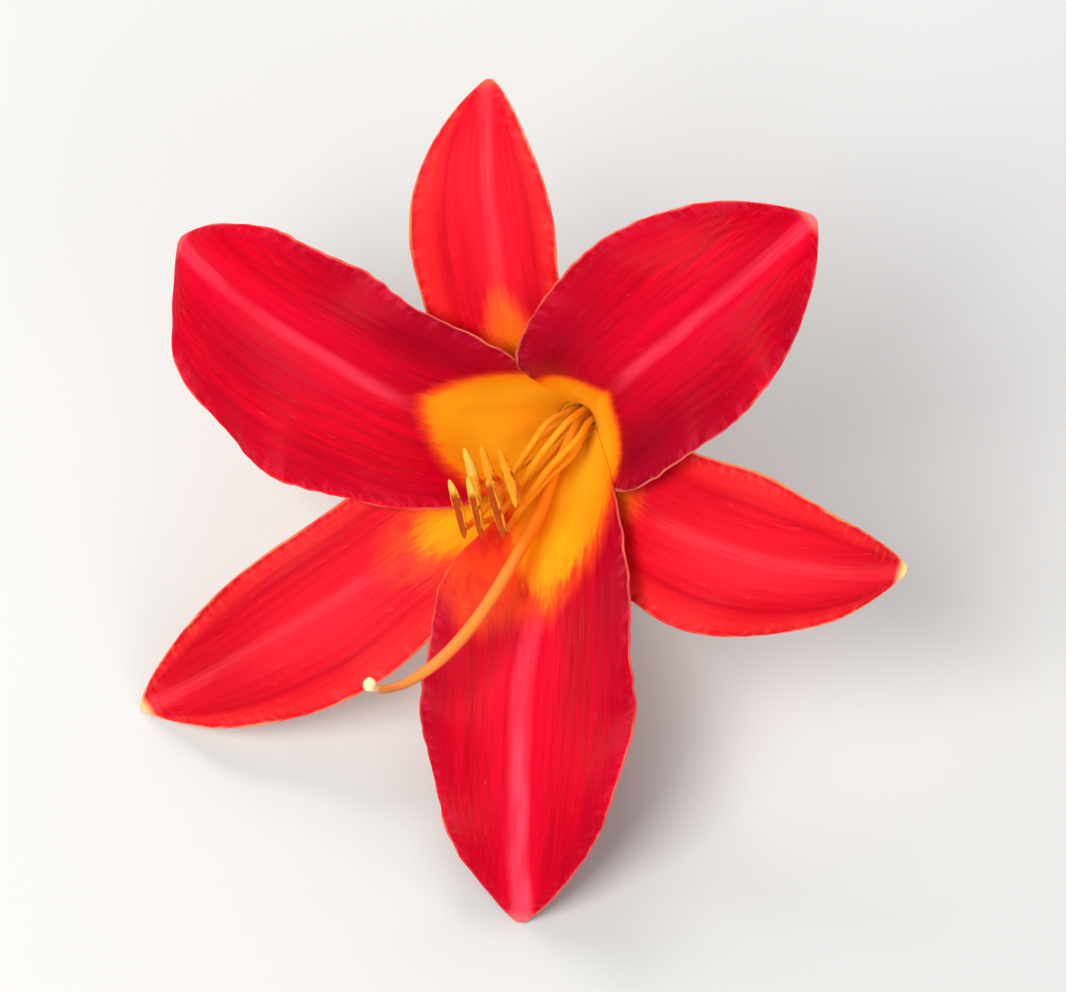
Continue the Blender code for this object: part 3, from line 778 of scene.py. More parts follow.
# %% [markdown]
# An anther stands across the end of its filament and leans a little differently from its neighbours. The
# middles of the six repeat those of the solids, and so do the azimuths of the filaments' feet and how far
# below its middle each anther is held. The three in front have opened only at their upper ends, where they
# are cream. The three behind, nearer the throat, are covered with golden pollen, and one is cream above.
# Six separate models would be harder to keep alike than one anther and a table.

# %% Places of the stamens
ANTHER_LENGTH = 9.5 * MM
ANTHER_WIDTH = 1.7 * MM
ANTHER_THICKNESS = 1.5 * MM
ANTHER_BOW = 0.8 * MM
ANTHER_LEAN = np.array([-0.3, 0.95, -0.1])
ANTHER_VARIES = np.array([0.09, 0, 0.12])
LEANS_OUT_OF_STEP = 2.1

Stamen = namedtuple("Stamen", "foot_azimuth middle below ripeness cream_from")
STAMENS = (
    Stamen(178, (-9.0, -7.3, 56.5), 2.6, 0, 0.76),
    Stamen(238, (-5.9, -6.4, 57.6), 2.6, 0.45, 0.7),
    Stamen(317, (-2.8, -7.2, 56.2), 2.6, 0, 0.93),
    Stamen(122, (-8.2, -3.2, 51.4), 0.8, 1.3, 0.5),
    Stamen(65, (-5.3, -2.4, 52.4), 0.8, 1.8, 1.1),
    Stamen(8, (-2.4, -3.2, 51.2), 0.8, 1.8, 1.1),
)


def anther_axes(index):
    """The long, wide and thin directions of an anther."""
    long_way = ANTHER_LEAN + ANTHER_VARIES * math.sin(LEANS_OUT_OF_STEP * index)
    long_way /= np.linalg.norm(long_way)
    thin_way = np.array([0, 0, 1]) - long_way * long_way[2]
    thin_way /= np.linalg.norm(thin_way)
    return long_way, np.cross(long_way, thin_way), thin_way


print("long way of the first anther:", anther_axes(0)[0].round(2))

# %% [markdown]
# An anther is two pollen sacs side by side, joined by a band down their back. When ripe they split along
# the face and turn their pollen out. Two capsules could be joined, but the seam between them would have to
# be blended. An ellipsoid with a furrow pressed into its face gives the two sacs in one skin, a line down
# the side of each marks the split, and a fine unevenness stands for the pollen.

# %% Anthers
ANTHER_RINGS = 96
ANTHER_AROUND = 96
ANTHER_POINTEDNESS = 1.15
FACE_FROM = -0.1
FACE_GROWS_OVER = 0.4
FURROW_DEPTH = 0.45
FURROW_WIDTH = 0.35
SPLIT_AT = 0.72
SPLIT_WIDTH = 0.09
SPLIT_DEPTH = 0.10
SPLIT_ENDS_OVER = 0.2
POLLEN_RELIEF = 0.05
RIPE_FROM = 0.35
RIPENS_OVER = 0.4
ANTHERS_APART = 5


def anther(index):
    """An ellipsoid by its polar angles, with the furrow where the face looks out, a split in each sac, and
    pollen relief as a product of sines whose rates share no step."""
    stamen = STAMENS[index]
    long_way, wide_way, thin_way = anther_axes(index)
    polar = np.linspace(0, math.pi, ANTHER_RINGS + 2)[1:-1]
    turn = np.linspace(0, -2 * math.pi, ANTHER_AROUND, endpoint=False)
    polar, turn = np.meshgrid(polar, turn, indexing="ij")
    x = np.sin(polar) * np.cos(turn)
    y = np.sin(polar) * np.sin(turn)
    z = -np.cos(polar)
    face = ease((y - FACE_FROM) / FACE_GROWS_OVER)
    furrow = FURROW_DEPTH * np.exp(-((x / FURROW_WIDTH) ** 2)) * face
    split = np.exp(-(((np.abs(x) - SPLIT_AT) / SPLIT_WIDTH) ** 2)) * face
    split *= ease((1 - np.abs(z)) / SPLIT_ENDS_OVER)
    grains = wander(31 * x + 9 * z, index) * wander(47 * z + 5 * x, 2.3 * index)
    grains += 0.6 * wander(90 * z, 1 + index)
    swell = 1 + POLLEN_RELIEF * grains * face - SPLIT_DEPTH * split
    full = np.sign(z) * np.abs(z) ** ANTHER_POINTEDNESS
    thick = y * (1 - furrow) * swell * ANTHER_THICKNESS / 2 + ANTHER_BOW * z * z
    places = (
        np.array(stamen.middle) * MM
        + long_way * full[..., None] * ANTHER_LENGTH / 2
        + wide_way * (x * swell)[..., None] * ANTHER_WIDTH / 2
        + thin_way * thick[..., None]
    )
    pollen = stamen.ripeness + (1 - stamen.ripeness) * ease((np.abs(x) - RIPE_FROM) / RIPENS_OVER)
    cream = (z + 1) / 2 - stamen.cream_from
    lie = np.stack([x + ANTHERS_APART * index, z * ANTHER_LENGTH / MM / 2, y], axis=-1)
    values = {
        "lie": ringed(lie)[0],
        "pollen": ringed(pollen[..., None])[0][:, 0],
        "cream": ringed(cream[..., None])[0][:, 0],
    }
    return make_piece(f"anther_{index + 1}", ringed(places), values)


for index in range(len(STAMENS)):
    tell(anther(index))

# %% [markdown]
# The filaments part from a bundle. Six free curves would cross each other somewhere. So each point of the
# bundle is a centre with a radius round it, in millimetres, on which the six keep their own azimuths.

# %% Filaments
FILAMENT_RADIUS = 0.55 * MM
FILAMENT_TAPER = 0.15
FILAMENT_RIBS = 0.03
FILAMENT_RINGS = 260
FILAMENT_AROUND = 18
FILAMENT_ARRIVES = np.array([0, -0.5, 0])
FILAMENT_ARRIVES_BELOW = 2.0
BUNDLE = (
    ((0, 0, 19.6), 2.1),
    ((0, 0, 24), 2.2),
    ((-0.7, -1.4, 31), 3.2),
    ((-2.4, -4.4, 38), 2.6),
    ((-4, -8, 47), 2.4),
)


def filament(index):
    """A tapering strand from the bundle to the back of its anther, which it meets a gap below the skin."""
    stamen = STAMENS[index]
    foot = math.radians(stamen.foot_azimuth)
    heading = np.array([math.cos(foot), math.sin(foot), 0])
    long_way, _, thin_way = anther_axes(index)
    bow = ANTHER_BOW / MM * (2 * stamen.below / (ANTHER_LENGTH / MM)) ** 2
    seat = np.array(stamen.middle) - long_way * stamen.below
    seat -= thin_way * (ANTHER_THICKNESS / MM / 2 + GAP / MM - bow)
    route = [np.array(centre) + heading * around for centre, around in BUNDLE]
    route += [seat - thin_way * FILAMENT_ARRIVES_BELOW + FILAMENT_ARRIVES, seat]
    path = smooth_path(route, FILAMENT_RINGS) * MM
    radii = FILAMENT_RADIUS * (1 - FILAMENT_TAPER * np.linspace(0, 1, FILAMENT_RINGS))
    rings = strand_rings(path, radii, FILAMENT_AROUND, FILAMENT_RIBS)
    values = strand_values(path, radii, FILAMENT_AROUND, index)
    return make_piece(f"filament_{index + 1}", ringed(rings), values)


for index in range(len(STAMENS)):
    tell(filament(index))

# %% [markdown]
# The pistil is one strand from the ovary deep in the tube to the stigma. Its radius swells at both ends.
# Towards the stigma the style is up to 0.3 mm slimmer all round than its solid, and the stigma's end is
# rounded. Three meshes joined end to end would show their seams, and the real pistil grows as one piece.

# %% Pistil
PISTIL_RINGS = 420
PISTIL_AROUND = 30
PISTIL_RIBS = 0.02
TUBE_FLOOR = 2.2 * MM
OVARY_RADIUS = 1.7 * MM
OVARY_TOP = 9 * MM
OVARY_NARROWS_OVER = 3 * MM
STYLE_STRAIGHT_TO = 14 * MM
STYLE_RADIUS = 0.7 * MM
STYLE_UPPER_RADIUS = 1.0 * MM
STYLE_THICKENS_FROM = 28 * MM
STYLE_THICKENS_OVER = 12 * MM
STYLE_NECK_RADIUS = 0.68 * MM
STYLE_SLIMS_FROM = 0.7
STYLE_SLIMS_OVER = 0.24
STIGMA_RADIUS = 1.1 * MM
STIGMA_SHARE = 0.045
STIGMA_SWELLS_OVER = 0.027
STIGMA_ROUNDS_OVER = 0.014
STIGMA_ENDS_AT = 0.97
STYLE = (
    (0, 0, 20),
    (0, -0.9, 25),
    (-0.5, -4.8, 31),
    (-0.3, -8.2, 38),
    (0.3, -10.8, 45),
    (0, -14.6, 55),
    (-3, -21.5, 61.7),
    (-7.4, -27.7, 66.1),
    (-12.4, -31.9, 69.3),
    (-16.4, -33.2, 71.8),
    (-18.5, -31.7, 74.4),
)


def pistil_radii(heights, share):
    """The radius at each height and share of the path: the style's, or the ovary's where that is wider,
    with the stigma's swelling added at the end and a quarter circle to close it."""
    ovary = OVARY_RADIUS * ease((OVARY_TOP + OVARY_NARROWS_OVER / 2 - heights) / OVARY_NARROWS_OVER)
    thicker = ease((heights - STYLE_THICKENS_FROM) / STYLE_THICKENS_OVER)
    slimmer = ease((share - STYLE_SLIMS_FROM) / STYLE_SLIMS_OVER)
    style = STYLE_RADIUS + (STYLE_UPPER_RADIUS - STYLE_RADIUS) * thicker
    style -= (STYLE_UPPER_RADIUS - STYLE_NECK_RADIUS) * slimmer
    stigma = ease((share - 1 + STIGMA_SHARE) / STIGMA_SWELLS_OVER)
    radii = np.maximum(style, ovary) + (STIGMA_RADIUS - STYLE_NECK_RADIUS) * stigma
    past_round = np.clip((share - 1 + STIGMA_ROUNDS_OVER) / STIGMA_ROUNDS_OVER, 0, STIGMA_ENDS_AT)
    return radii * np.sqrt(1 - past_round**2)


straight = [(0, 0, height / MM) for height in (TUBE_FLOOR + GAP, OVARY_TOP, STYLE_STRAIGHT_TO)]
pistil_path = smooth_path([*straight, *STYLE], PISTIL_RINGS) * MM
radii = pistil_radii(pistil_path[:, 2], np.linspace(0, 1, PISTIL_RINGS))
pistil_rings = strand_rings(pistil_path, radii, PISTIL_AROUND, PISTIL_RIBS)
pistil_values = strand_values(pistil_path, radii, PISTIL_AROUND, len(STAMENS) + 1)
pistil = make_piece("pistil", ringed(pistil_rings), pistil_values)
tell(pistil)

# %% [markdown]
# ## Tube and stalk
#
# Below the tepals the flower narrows to a tube, and the tube sits on a short stalk that was cut when the
# bloom was picked. Both are profiles turned round the axis. Spin would do it, but a grid of height and
# turn lets the tube carry the low ribs that run down from the six tepals. The tube's mouth stands half a
# millimetre higher than its solid's, so that no gap shows below the tepals.

# %% Turned pieces
TURNED_AROUND = 120
RIBS_ROUND_THE_TUBE = 6
RIB_AZIMUTH = math.radians(160)
RIB_ROUGHNESS = 0.3
CLOSING_STEPS = np.linspace(0.1, 0.9, 6)


def turned(profile):
    """Rings of points: each radius at its height, with ribs as broad ridges of the given height. The
    profile is a list of radii, heights and ribs, and its parts follow on from each other."""
    radii, heights, ribs = (np.concatenate(parts)[:, None] for parts in zip(*profile))
    turn = np.linspace(0, 2 * math.pi, TURNED_AROUND, endpoint=False)
    ridges = np.cos(RIBS_ROUND_THE_TUBE * (turn - RIB_AZIMUTH)) + RIB_ROUGHNESS * wander(24 * turn, 1)
    reach = radii + ribs * ridges
    height = np.broadcast_to(heights, reach.shape)
    return np.stack([reach * np.cos(turn), reach * np.sin(turn), height], axis=-1)


def disc(radius, height, steps=CLOSING_STEPS):
    """The radii, heights and ribs of a flat end. The steps run outwards, or inwards when turned round."""
    return steps * radius, 0 * steps + height, 0 * steps


def turned_values(rings):
    """Where the points lie, in mm, and how high they are from 0 at the lowest to 1 at the highest."""
    lie = ringed(rings / MM)[0]
    return {"lie": lie, "along": (lie[:, 2] - lie[:, 2].min()) / np.ptp(lie[:, 2])}


print("radii of a flat end of 1 mm:", disc(1, 0)[0].round(2))

# %% Tube
TUBE_BASE_RADIUS = 2.0 * MM
TUBE_NECK_RADIUS = 3.3 * MM
TUBE_MOUTH_RADIUS = 5.0 * MM
TUBE_NECK_FROM = 5 * MM
TUBE_SWELLS_FROM = 12 * MM
TUBE_SWELLING = 2.6
TUBE_LAPS = 0.5 * MM
MOST_SWELLING = 1.1
TUBE_RIB = 0.10 * MM
TUBE_RIB_GROWS_OVER = 4 * MM
BORE_HEIGHTS = np.array([2.2, 12, 18]) * MM
BORE_RADII = np.array([2.1, 2.4, 3.0]) * MM
OUTER_RINGS = 112
INNER_RINGS = 50

up = np.linspace(0, TUBE_LENGTH + TUBE_LAPS, OUTER_RINGS)
down = np.linspace(TUBE_LENGTH + TUBE_LAPS, TUBE_FLOOR, INNER_RINGS)
neck = (TUBE_NECK_RADIUS - TUBE_BASE_RADIUS) * ease(up / TUBE_NECK_FROM)
swelling = np.clip((up - TUBE_SWELLS_FROM) / (TUBE_LENGTH - TUBE_SWELLS_FROM), 0, MOST_SWELLING)
swelling = (TUBE_MOUTH_RADIUS - TUBE_NECK_RADIUS) * swelling**TUBE_SWELLING
tube_rings = turned([
    disc(TUBE_BASE_RADIUS, 0),
    (TUBE_BASE_RADIUS + neck + swelling, up, TUBE_RIB * ease(up / TUBE_RIB_GROWS_OVER)),
    (np.interp(down, BORE_HEIGHTS, BORE_RADII), down, 0 * down),
    disc(BORE_RADII[0], TUBE_FLOOR, CLOSING_STEPS[::-1]),
])
tube = make_piece("perianth_tube", ringed(tube_rings), turned_values(tube_rings))
tell(tube)

# %% Stalk
PEDICEL_LENGTH = 9 * MM
PEDICEL_RADIUS = 1.5 * MM
COLLAR_RADIUS = 1.8 * MM
COLLAR_NECK_RADIUS = 1.65 * MM
COLLAR_NECK_DEPTH = 1.5 * MM
COLLAR_DEPTH = 3.5 * MM
STALK_RIB = 0.05 * MM
STALK_RINGS = 70

up = np.linspace(-PEDICEL_LENGTH, 0, STALK_RINGS) - GAP
stalk_radii = np.interp(
    up,
    np.array([-PEDICEL_LENGTH, -COLLAR_DEPTH, -COLLAR_NECK_DEPTH, 0]) - GAP,
    [PEDICEL_RADIUS, PEDICEL_RADIUS, COLLAR_NECK_RADIUS, COLLAR_RADIUS],
)
stalk_rings = turned([
    disc(PEDICEL_RADIUS, up[0]),
    (stalk_radii, up, STALK_RIB + 0 * up),
    disc(COLLAR_RADIUS, up[-1], CLOSING_STEPS[::-1]),
])
stalk = make_piece("pedicel", ringed(stalk_rings), turned_values(stalk_rings))
tell(stalk)

# %% [markdown]
# ## Finishes
#
# Each finish is a Principled shader whose colour, roughness and bump are worked out by nodes from what the
# points carry. Colours are written as the eye reads them, 0 to 255, and turned to linear light once.
# Pictures wrapped round the pieces could hold the colours too, but they blur close up and nodes don't.
# The nodes are many, so a few helpers write each kind of them in one line.

# %% Colours and nodes
def colour(red, green, blue):
    """A colour of 0..255 parts as linear light with full alpha: the sRGB curve undone."""
    parts = np.array([red, green, blue]) / 255
    linear = np.where(parts <= 0.04045, parts / 12.92, ((parts + 0.055) / 1.055) ** 2.4)
    return (*linear.tolist(), 1)


def add(tree, kind, sockets=None, **settings):
    """Adds a node with its settings. Each socket gets a value, or a link from another socket."""
    made = tree.nodes.new(kind)
    for name, value in settings.items():
        setattr(made, name, value)
    for name, value in (sockets or {}).items():
        if isinstance(value, bpy.types.NodeSocket):
            tree.links.new(value, made.inputs[name])
        else:
            made.inputs[name].default_value = value
    return made


def reckon(tree, operation, a, b=0.0):
    """The result of one Math node."""
    return add(tree, "ShaderNodeMath", {0: a, 1: b}, operation=operation).outputs[0]


def plus(tree, a, b):
    """The sum of two values."""
    return reckon(tree, "ADD", a, b)


def times(tree, product, *factors):
    """The product of values, taken in turn."""
    for factor in factors:
        product = reckon(tree, "MULTIPLY", product, factor)
    return product


print("crimson in linear light:", [round(part, 3) for part in colour(220, 10, 40)])

# %% Steps, blends and ramps
def between(tree, value, low, high, to_low=0.0, to_high=1.0):
    """A smooth step: to_low where the value is low or less, to_high where it is high or more."""
    sockets = {"Value": value, "From Min": low, "From Max": high, "To Min": to_low, "To Max": to_high}
    return add(tree, "ShaderNodeMapRange", sockets, interpolation_type="SMOOTHSTEP").outputs["Result"]


def blend(tree, factor, a, b):
    """Colour a where the factor is 0 and b where it is 1."""
    return add(tree, "ShaderNodeMix", {0: factor, 6: a, 7: b}, data_type="RGBA").outputs[2]


def ramp(tree, factor, stops):
    """A colour that runs through stops, each a place from 0 to 1 and the colour there."""
    made = add(tree, "ShaderNodeValToRGB", {"Fac": factor})
    elements = made.color_ramp.elements
    while len(elements) < len(stops):
        elements.new(0.5)
    for element, (place, shade) in zip(elements, stops):
        element.position = place
        element.color = colour(*shade)
    return made.outputs["Color"]


trial = bpy.data.node_groups.new("trial", "ShaderNodeTree")
blend(trial, between(trial, 0.5, 0.0, 1.0), colour(0, 0, 0), colour(255, 255, 255))
print("nodes of a step and a blend:", [node.bl_idname for node in trial.nodes])
bpy.data.node_groups.remove(trial)

# %% Carried values and noise
Grain = namedtuple("Grain", "stretch detail roughness distortion", defaults=(2.0, 0.5, 0.0))


def carried(tree, name):
    """The number that the points carry under this name."""
    return add(tree, "ShaderNodeAttribute", attribute_name=name).outputs["Fac"]


def carried_vector(tree, name):
    """The vector that the points carry under this name."""
    return add(tree, "ShaderNodeAttribute", attribute_name=name).outputs["Vector"]


def parts_of(tree, vector):
    """The three numbers of a vector."""
    return add(tree, "ShaderNodeSeparateXYZ", {0: vector}).outputs


def noise(tree, place, grain):
    """Noise of the place times the grain's stretch, which says how many lumps fit in a unit each way."""
    scaled = add(tree, "ShaderNodeVectorMath", {0: place, 1: grain.stretch}, operation="MULTIPLY")
    sockets = {
        "Vector": scaled.outputs[0],
        "Scale": 1.0,
        "Detail": grain.detail,
        "Roughness": grain.roughness,
        "Distortion": grain.distortion,
    }
    return add(tree, "ShaderNodeTexNoise", sockets).outputs["Fac"]


print("a grain with the usual detail, roughness and distortion:", Grain((1.0, 0.1, 1.0))[1:])

# %% [markdown]
# Three effects are shared by several finishes, so each is a node group: streaks that run with growth, the
# soft relief of the skin's cells, and the golden throat. A group puts out colours, masks, numbers or a
# normal. The shader itself stays in each material, where its other settings are seen with it.

# %% Groups and finishes
def new_group(name, inputs, outputs):
    """An empty node group with these sockets. Returns the group and the sockets at its two ends."""
    group = bpy.data.node_groups.new(name, "ShaderNodeTree")
    for direction, sockets in (("INPUT", inputs), ("OUTPUT", outputs)):
        for socket_name, kind in sockets.items():
            group.interface.new_socket(socket_name, in_out=direction, socket_type="NodeSocket" + kind)
    return group, group.nodes.new("NodeGroupInput").outputs, group.nodes.new("NodeGroupOutput").inputs


def use_group(tree, group, sockets):
    """The outputs of a group whose inputs are given by name."""
    return add(tree, "ShaderNodeGroup", sockets, node_tree=group).outputs


def new_finish(name):
    """A material, its tree and its shader's inputs."""
    material = bpy.data.materials.new(name)
    material.use_nodes = True
    return material, material.node_tree, material.node_tree.nodes["Principled BSDF"].inputs


print("materials so far:", len(bpy.data.materials))

# %% [markdown]
# Growth draws a flower's pigment out lengthwise. Noise squeezed across and stretched along gives such
# streaks, and two sizes of it, fine on coarse, look less even than one. A third, much larger noise gives
# the patches where a tepal is a little darker or its veins show more. Wave textures would give streaks as
# well, but of one width.

# %% Group of streaks
FINE_STREAKS = Grain((1.9, 0.09, 1.0), 3.0, 0.6, 0.2)
BROAD_STREAKS = Grain((0.42, 0.035, 1.0), 2.0, 0.5, 0.3)
PATCHES = Grain((0.13, 0.05, 1.0))
STREAK_RANGE = (0.36, 0.64)
PATCH_RANGE = (0.38, 0.62)

growth, given, result = new_group(
    "Growth streaks", {"Lie": "Vector"}, {"Streak": "Float", "Patch": "Float"}
)
fine = noise(growth, given["Lie"], FINE_STREAKS)
broad = noise(growth, given["Lie"], BROAD_STREAKS)
both = times(growth, plus(growth, fine, broad), 0.5)
patches = noise(growth, given["Lie"], PATCHES)
growth.links.new(between(growth, both, *STREAK_RANGE), result["Streak"])
growth.links.new(between(growth, patches, *PATCH_RANGE), result["Patch"])
print("sockets of the streaks:", [socket.name for socket in growth.interface.items_tree])

# %% [markdown]
# Seen close, a petal's skin is rows of swollen cells that glisten. They could be modelled, but a cell is
# far smaller than a face of the mesh. Short noise along the rows, as height for a Bump, breaks up the
# highlights in the same way, with the veins as longer and higher ridges.

# %% Group of skin relief
SKIN_VEINS = Grain((2.6, 0.06, 1.0), 2.0, 0.5, 0.15)
SKIN_CELLS = Grain((5.0, 2.0, 1.0), 1.0)

relief, given, result = new_group(
    "Skin relief",
    {"Lie": "Vector", "Vein height mm": "Float", "Cell height mm": "Float"},
    {"Normal": "Vector"},
)
high = times(relief, noise(relief, given["Lie"], SKIN_VEINS), given["Vein height mm"])
low = times(relief, noise(relief, given["Lie"], SKIN_CELLS), given["Cell height mm"])
height = times(relief, plus(relief, high, low), MM)
bump = add(relief, "ShaderNodeBump", {"Height": height, "Strength": 1.0, "Distance": 1.0})
relief.links.new(bump.outputs["Normal"], result["Normal"])
print("sockets of the relief:", [socket.name for socket in relief.interface.items_tree])

# %% [markdown]
# The throat is golden, and turns through orange to red within a few millimetres. The points carry how far
# inside the gold they lie. A plain ramp on that distance would end in an even line. A little streaked noise
# added to it makes the border run out along the veins, as it does in the flower.

# %% Group of the golden throat
BORDER = Grain((1.1, 0.25, 1.0), 3.0, 0.65)
GOLD_FROM = -2.0
GOLD_TO = 14.0
GOLDS = (
    (0.00, (226, 44, 26)),
    (0.12, (240, 96, 22)),
    (0.22, (252, 148, 18)),
    (0.40, (255, 172, 22)),
    (0.70, (255, 192, 34)),
    (1.00, (255, 186, 34)),
)

gilding, given, result = new_group(
    "Golden throat",
    {"Lie": "Vector", "Inside mm": "Float", "Softness mm": "Float", "Raggedness mm": "Float"},
    {"Mask": "Float", "Colour": "Color"},
)
ragged = reckon(gilding, "SUBTRACT", noise(gilding, given["Lie"], BORDER), 0.5)
inside = plus(gilding, given["Inside mm"], times(gilding, ragged, given["Raggedness mm"], 2.0))
depth = reckon(gilding, "DIVIDE", inside, given["Softness mm"])
deep = add(gilding, "ShaderNodeMapRange", {"Value": depth, "From Min": GOLD_FROM, "From Max": GOLD_TO})
gilding.links.new(between(gilding, depth, -1.0, 1.0), result["Mask"])
gilding.links.new(ramp(gilding, deep.outputs["Result"], GOLDS), result["Colour"])
print("sockets of the throat:", [socket.name for socket in gilding.interface.items_tree])

# %% [markdown]
# ## Petals and sepals
#
# The petals are deep crimson with a velvety look, and the sepals a warmer red. Layer upon layer of colour
# is laid over the streaked flesh in turn, each with a mask, a share and a shade. One picture or one large
# function could do all of it, but in short lists each layer can be found and changed by itself.
#
# First comes what the layers read: the values that the points carry, under plain names, and the streaks.

# %% What a tepal's layers read
Reads = namedtuple(
    "Reads",
    "lie out along back side edge gold softness ragged warmth rib_share pale_tip dark glow streak patch",
)


def tepal_reads(tree):
    """The sockets of all that a tepal's points carry, the distance from the midrib without its sign, and
    the streaks and patches."""
    lie = carried_vector(tree, "lie")
    across, along, back = parts_of(tree, carried_vector(tree, "place"))
    side, edge, gold = parts_of(tree, carried_vector(tree, "reach"))
    softness, ragged, warmth = parts_of(tree, carried_vector(tree, "soft"))
    # The third of the marks is the painted shade.
    rib_share, pale_tip, dark = parts_of(tree, carried_vector(tree, "marks"))
    streaks = use_group(tree, growth, {"Lie": lie})
    return Reads(
        lie=lie,
        out=reckon(tree, "ABSOLUTE", across),
        along=along,
        back=back,
        side=side,
        edge=edge,
        gold=gold,
        softness=softness,
        ragged=ragged,
        warmth=warmth,
        rib_share=rib_share,
        pale_tip=pale_tip,
        dark=dark,
        glow=carried(tree, "glow"),
        streak=streaks["Streak"],
        patch=streaks["Patch"],
    )


def lay(tree, under, layers, shades):
    """Lays layers over a colour in turn. Each layer is a mask, its share and the name of its shade."""
    for mask, share, shade in layers:
        under = blend(tree, times(tree, mask, share), under, colour(*shades[shade]))
    return under


print("what a layer can read:", ", ".join(Reads._fields))

# %% [markdown]
# The flesh shows darker patches, fine dark lines where the veins run, and small pale flecks. The lines
# have the same spacing as the ridges of the fine relief. They could be drawn one by one, but a zigzag of
# the distance from the midrib gives them all.

# %% Patches, veins and flecks
VEINS_DRIFT = Grain((0.05, 0.09, 1.0), 1.0)
FLECKS = Grain((1.3, 0.28, 1.0), 2.0, 0.6)
VEIN_LINE = (0.16, 0.02)
FAINTEST_VEIN = 0.4
FLECK_RANGE = (0.64, 0.74)
PATCH_SHARE = 0.4
FLECK_SHARE = 0.25


def flesh_layers(tree, reads, shades):
    """Veins lie where a zigzag of the distance from the midrib, in vein spacings, comes near to 0."""
    beat = times(tree, reckon(tree, "POWER", reads.out, VEINS_CROWD), shades["veins"])
    beat = plus(tree, beat, noise(tree, reads.lie, VEINS_DRIFT))
    vein = between(tree, reckon(tree, "PINGPONG", beat, 0.5), *VEIN_LINE)
    vein = times(tree, vein, between(tree, reads.patch, 0.0, 1.0, FAINTEST_VEIN, 1.0))
    flecks = between(tree, noise(tree, reads.lie, FLECKS), *FLECK_RANGE)
    return [
        (reads.patch, PATCH_SHARE, "patch"),
        (vein, shades["vein share"], "vein"),
        (flecks, FLECK_SHARE, "fleck"),
    ]


print("share of the flecks:", FLECK_SHARE)

# %% [markdown]
# A tepal has a painted highlight along its middle, and painted shade in the soft spots that its points
# carry. On the petals, a band just inside the margin is painted shade where the margins turn away. On the
# sepals, the same band is their own lighter red. Each sepal also has a line of painted shade on both sides,
# as of a groove, three fifths of the way out. Lamps could give such light and shade by themselves, but
# painted light and shade stay with the flower wherever it is used.

# %% Middle highlight, shaded flanks, band and shade line
HIGHLIGHT_REACHES = (0.55, 0.1)
HIGHLIGHT_OPENS = (0.35, 0.6)
BAND_FROM = (0.6, 0.84)
BAND_SHORT_OF_EDGE = (0.3, 1.6)
GROOVE_SHADE_WIDTH = (0.05, 0.01)
GROOVE_SHADE_OPENS = (0.4, 0.6)


def tone_layers(tree, reads, shades):
    """Each is a step of the distance from the midrib, times one along the tepal or from the margin."""
    middle = between(tree, reads.out, *HIGHLIGHT_REACHES)
    middle = times(tree, middle, between(tree, reads.along, *HIGHLIGHT_OPENS))
    band = times(tree, between(tree, reads.out, *BAND_FROM), between(tree, reads.edge, *BAND_SHORT_OF_EDGE))
    # The middle is a painted highlight and the soft spots are painted shade. The band is painted shade on
    # the petals and the sepals' own lighter red.
    layers = [
        (middle, shades["middle share"], "middle"),
        (reads.dark, 1.0, "flank"),
        (band, shades["band share"], "band"),
    ]
    if "line" in shades:
        # The sepals' line is painted shade, as of a groove.
        line = reckon(tree, "ABSOLUTE", reckon(tree, "SUBTRACT", reads.out, shades["line at"]))
        line = times(tree, between(tree, line, *GROOVE_SHADE_WIDTH), between(tree, reads.along, *GROOVE_SHADE_OPENS))
        layers.append((line, shades["line share"], "line"))
    return layers


print("the band starts between these shares of the half width:", BAND_FROM)

# %% [markdown]
# Painted highlights stand where light catches the crimps near the margin. A pale line follows the midrib
# where the tepal is open, the margin has a thin pale edge, and so has the tip. The edge shows on the back
# too, so it is a layer of its own. Bevelled edges with a second material would be sharper than the real
# ones, which fade inwards.

# %% Crimp highlights, midrib, rim and tip
CRIMP_LIGHTS = Grain((0.35, 0.9, 1.0), 2.0, 0.6, 0.4)
CRIMP_RANGE = (0.45, 0.65)
CRIMPS_REACH = (3.4, 0.4)
RIB_REACHES = (1.0, 0.25)
RIB_OPENS = (0.36, 0.52)
RIB_IN_PATCHES = 0.45
RIB_BETWEEN_STREAKS = 0.7
RIM_REACHES = (0.7, 0.1)
RIM_RAGGEDNESS = 0.4
TIP_FROM = (0.972, 0.996)
TIP_SHARE = 0.9


def rim_layer(tree, reads, shades):
    """The pale edge: a step of the distance from the margin, made ragged by the streaks."""
    distance = plus(tree, reads.edge, times(tree, reads.streak, RIM_RAGGEDNESS))
    return between(tree, distance, *RIM_REACHES), shades["rim share"], "rim"


def edge_layers(tree, reads, shades):
    """Noise near the margin, a step beside the midrib that patches and streaks break up, and the rims."""
    # The crimps get painted highlights, where light catches them.
    crimps = between(tree, noise(tree, reads.lie, CRIMP_LIGHTS), *CRIMP_RANGE)
    crimps = times(tree, crimps, between(tree, reads.edge, *CRIMPS_REACH))
    rib = times(
        tree,
        between(tree, reads.side, *RIB_REACHES),
        between(tree, reads.along, *RIB_OPENS),
        between(tree, reads.patch, 0.0, 1.0, 1.0, RIB_IN_PATCHES),
        between(tree, reads.streak, 0.0, 1.0, RIB_BETWEEN_STREAKS, 1.0),
    )
    tip = times(tree, between(tree, reads.along, *TIP_FROM), reads.pale_tip)
    return [
        (crimps, shades["crimp share"], "crimp"),
        (rib, reads.rib_share, "rib"),
        rim_layer(tree, reads, shades),
        (tip, TIP_SHARE, "tip"),
    ]


print("the rim ends this many mm from the margin:", RIM_REACHES[0])

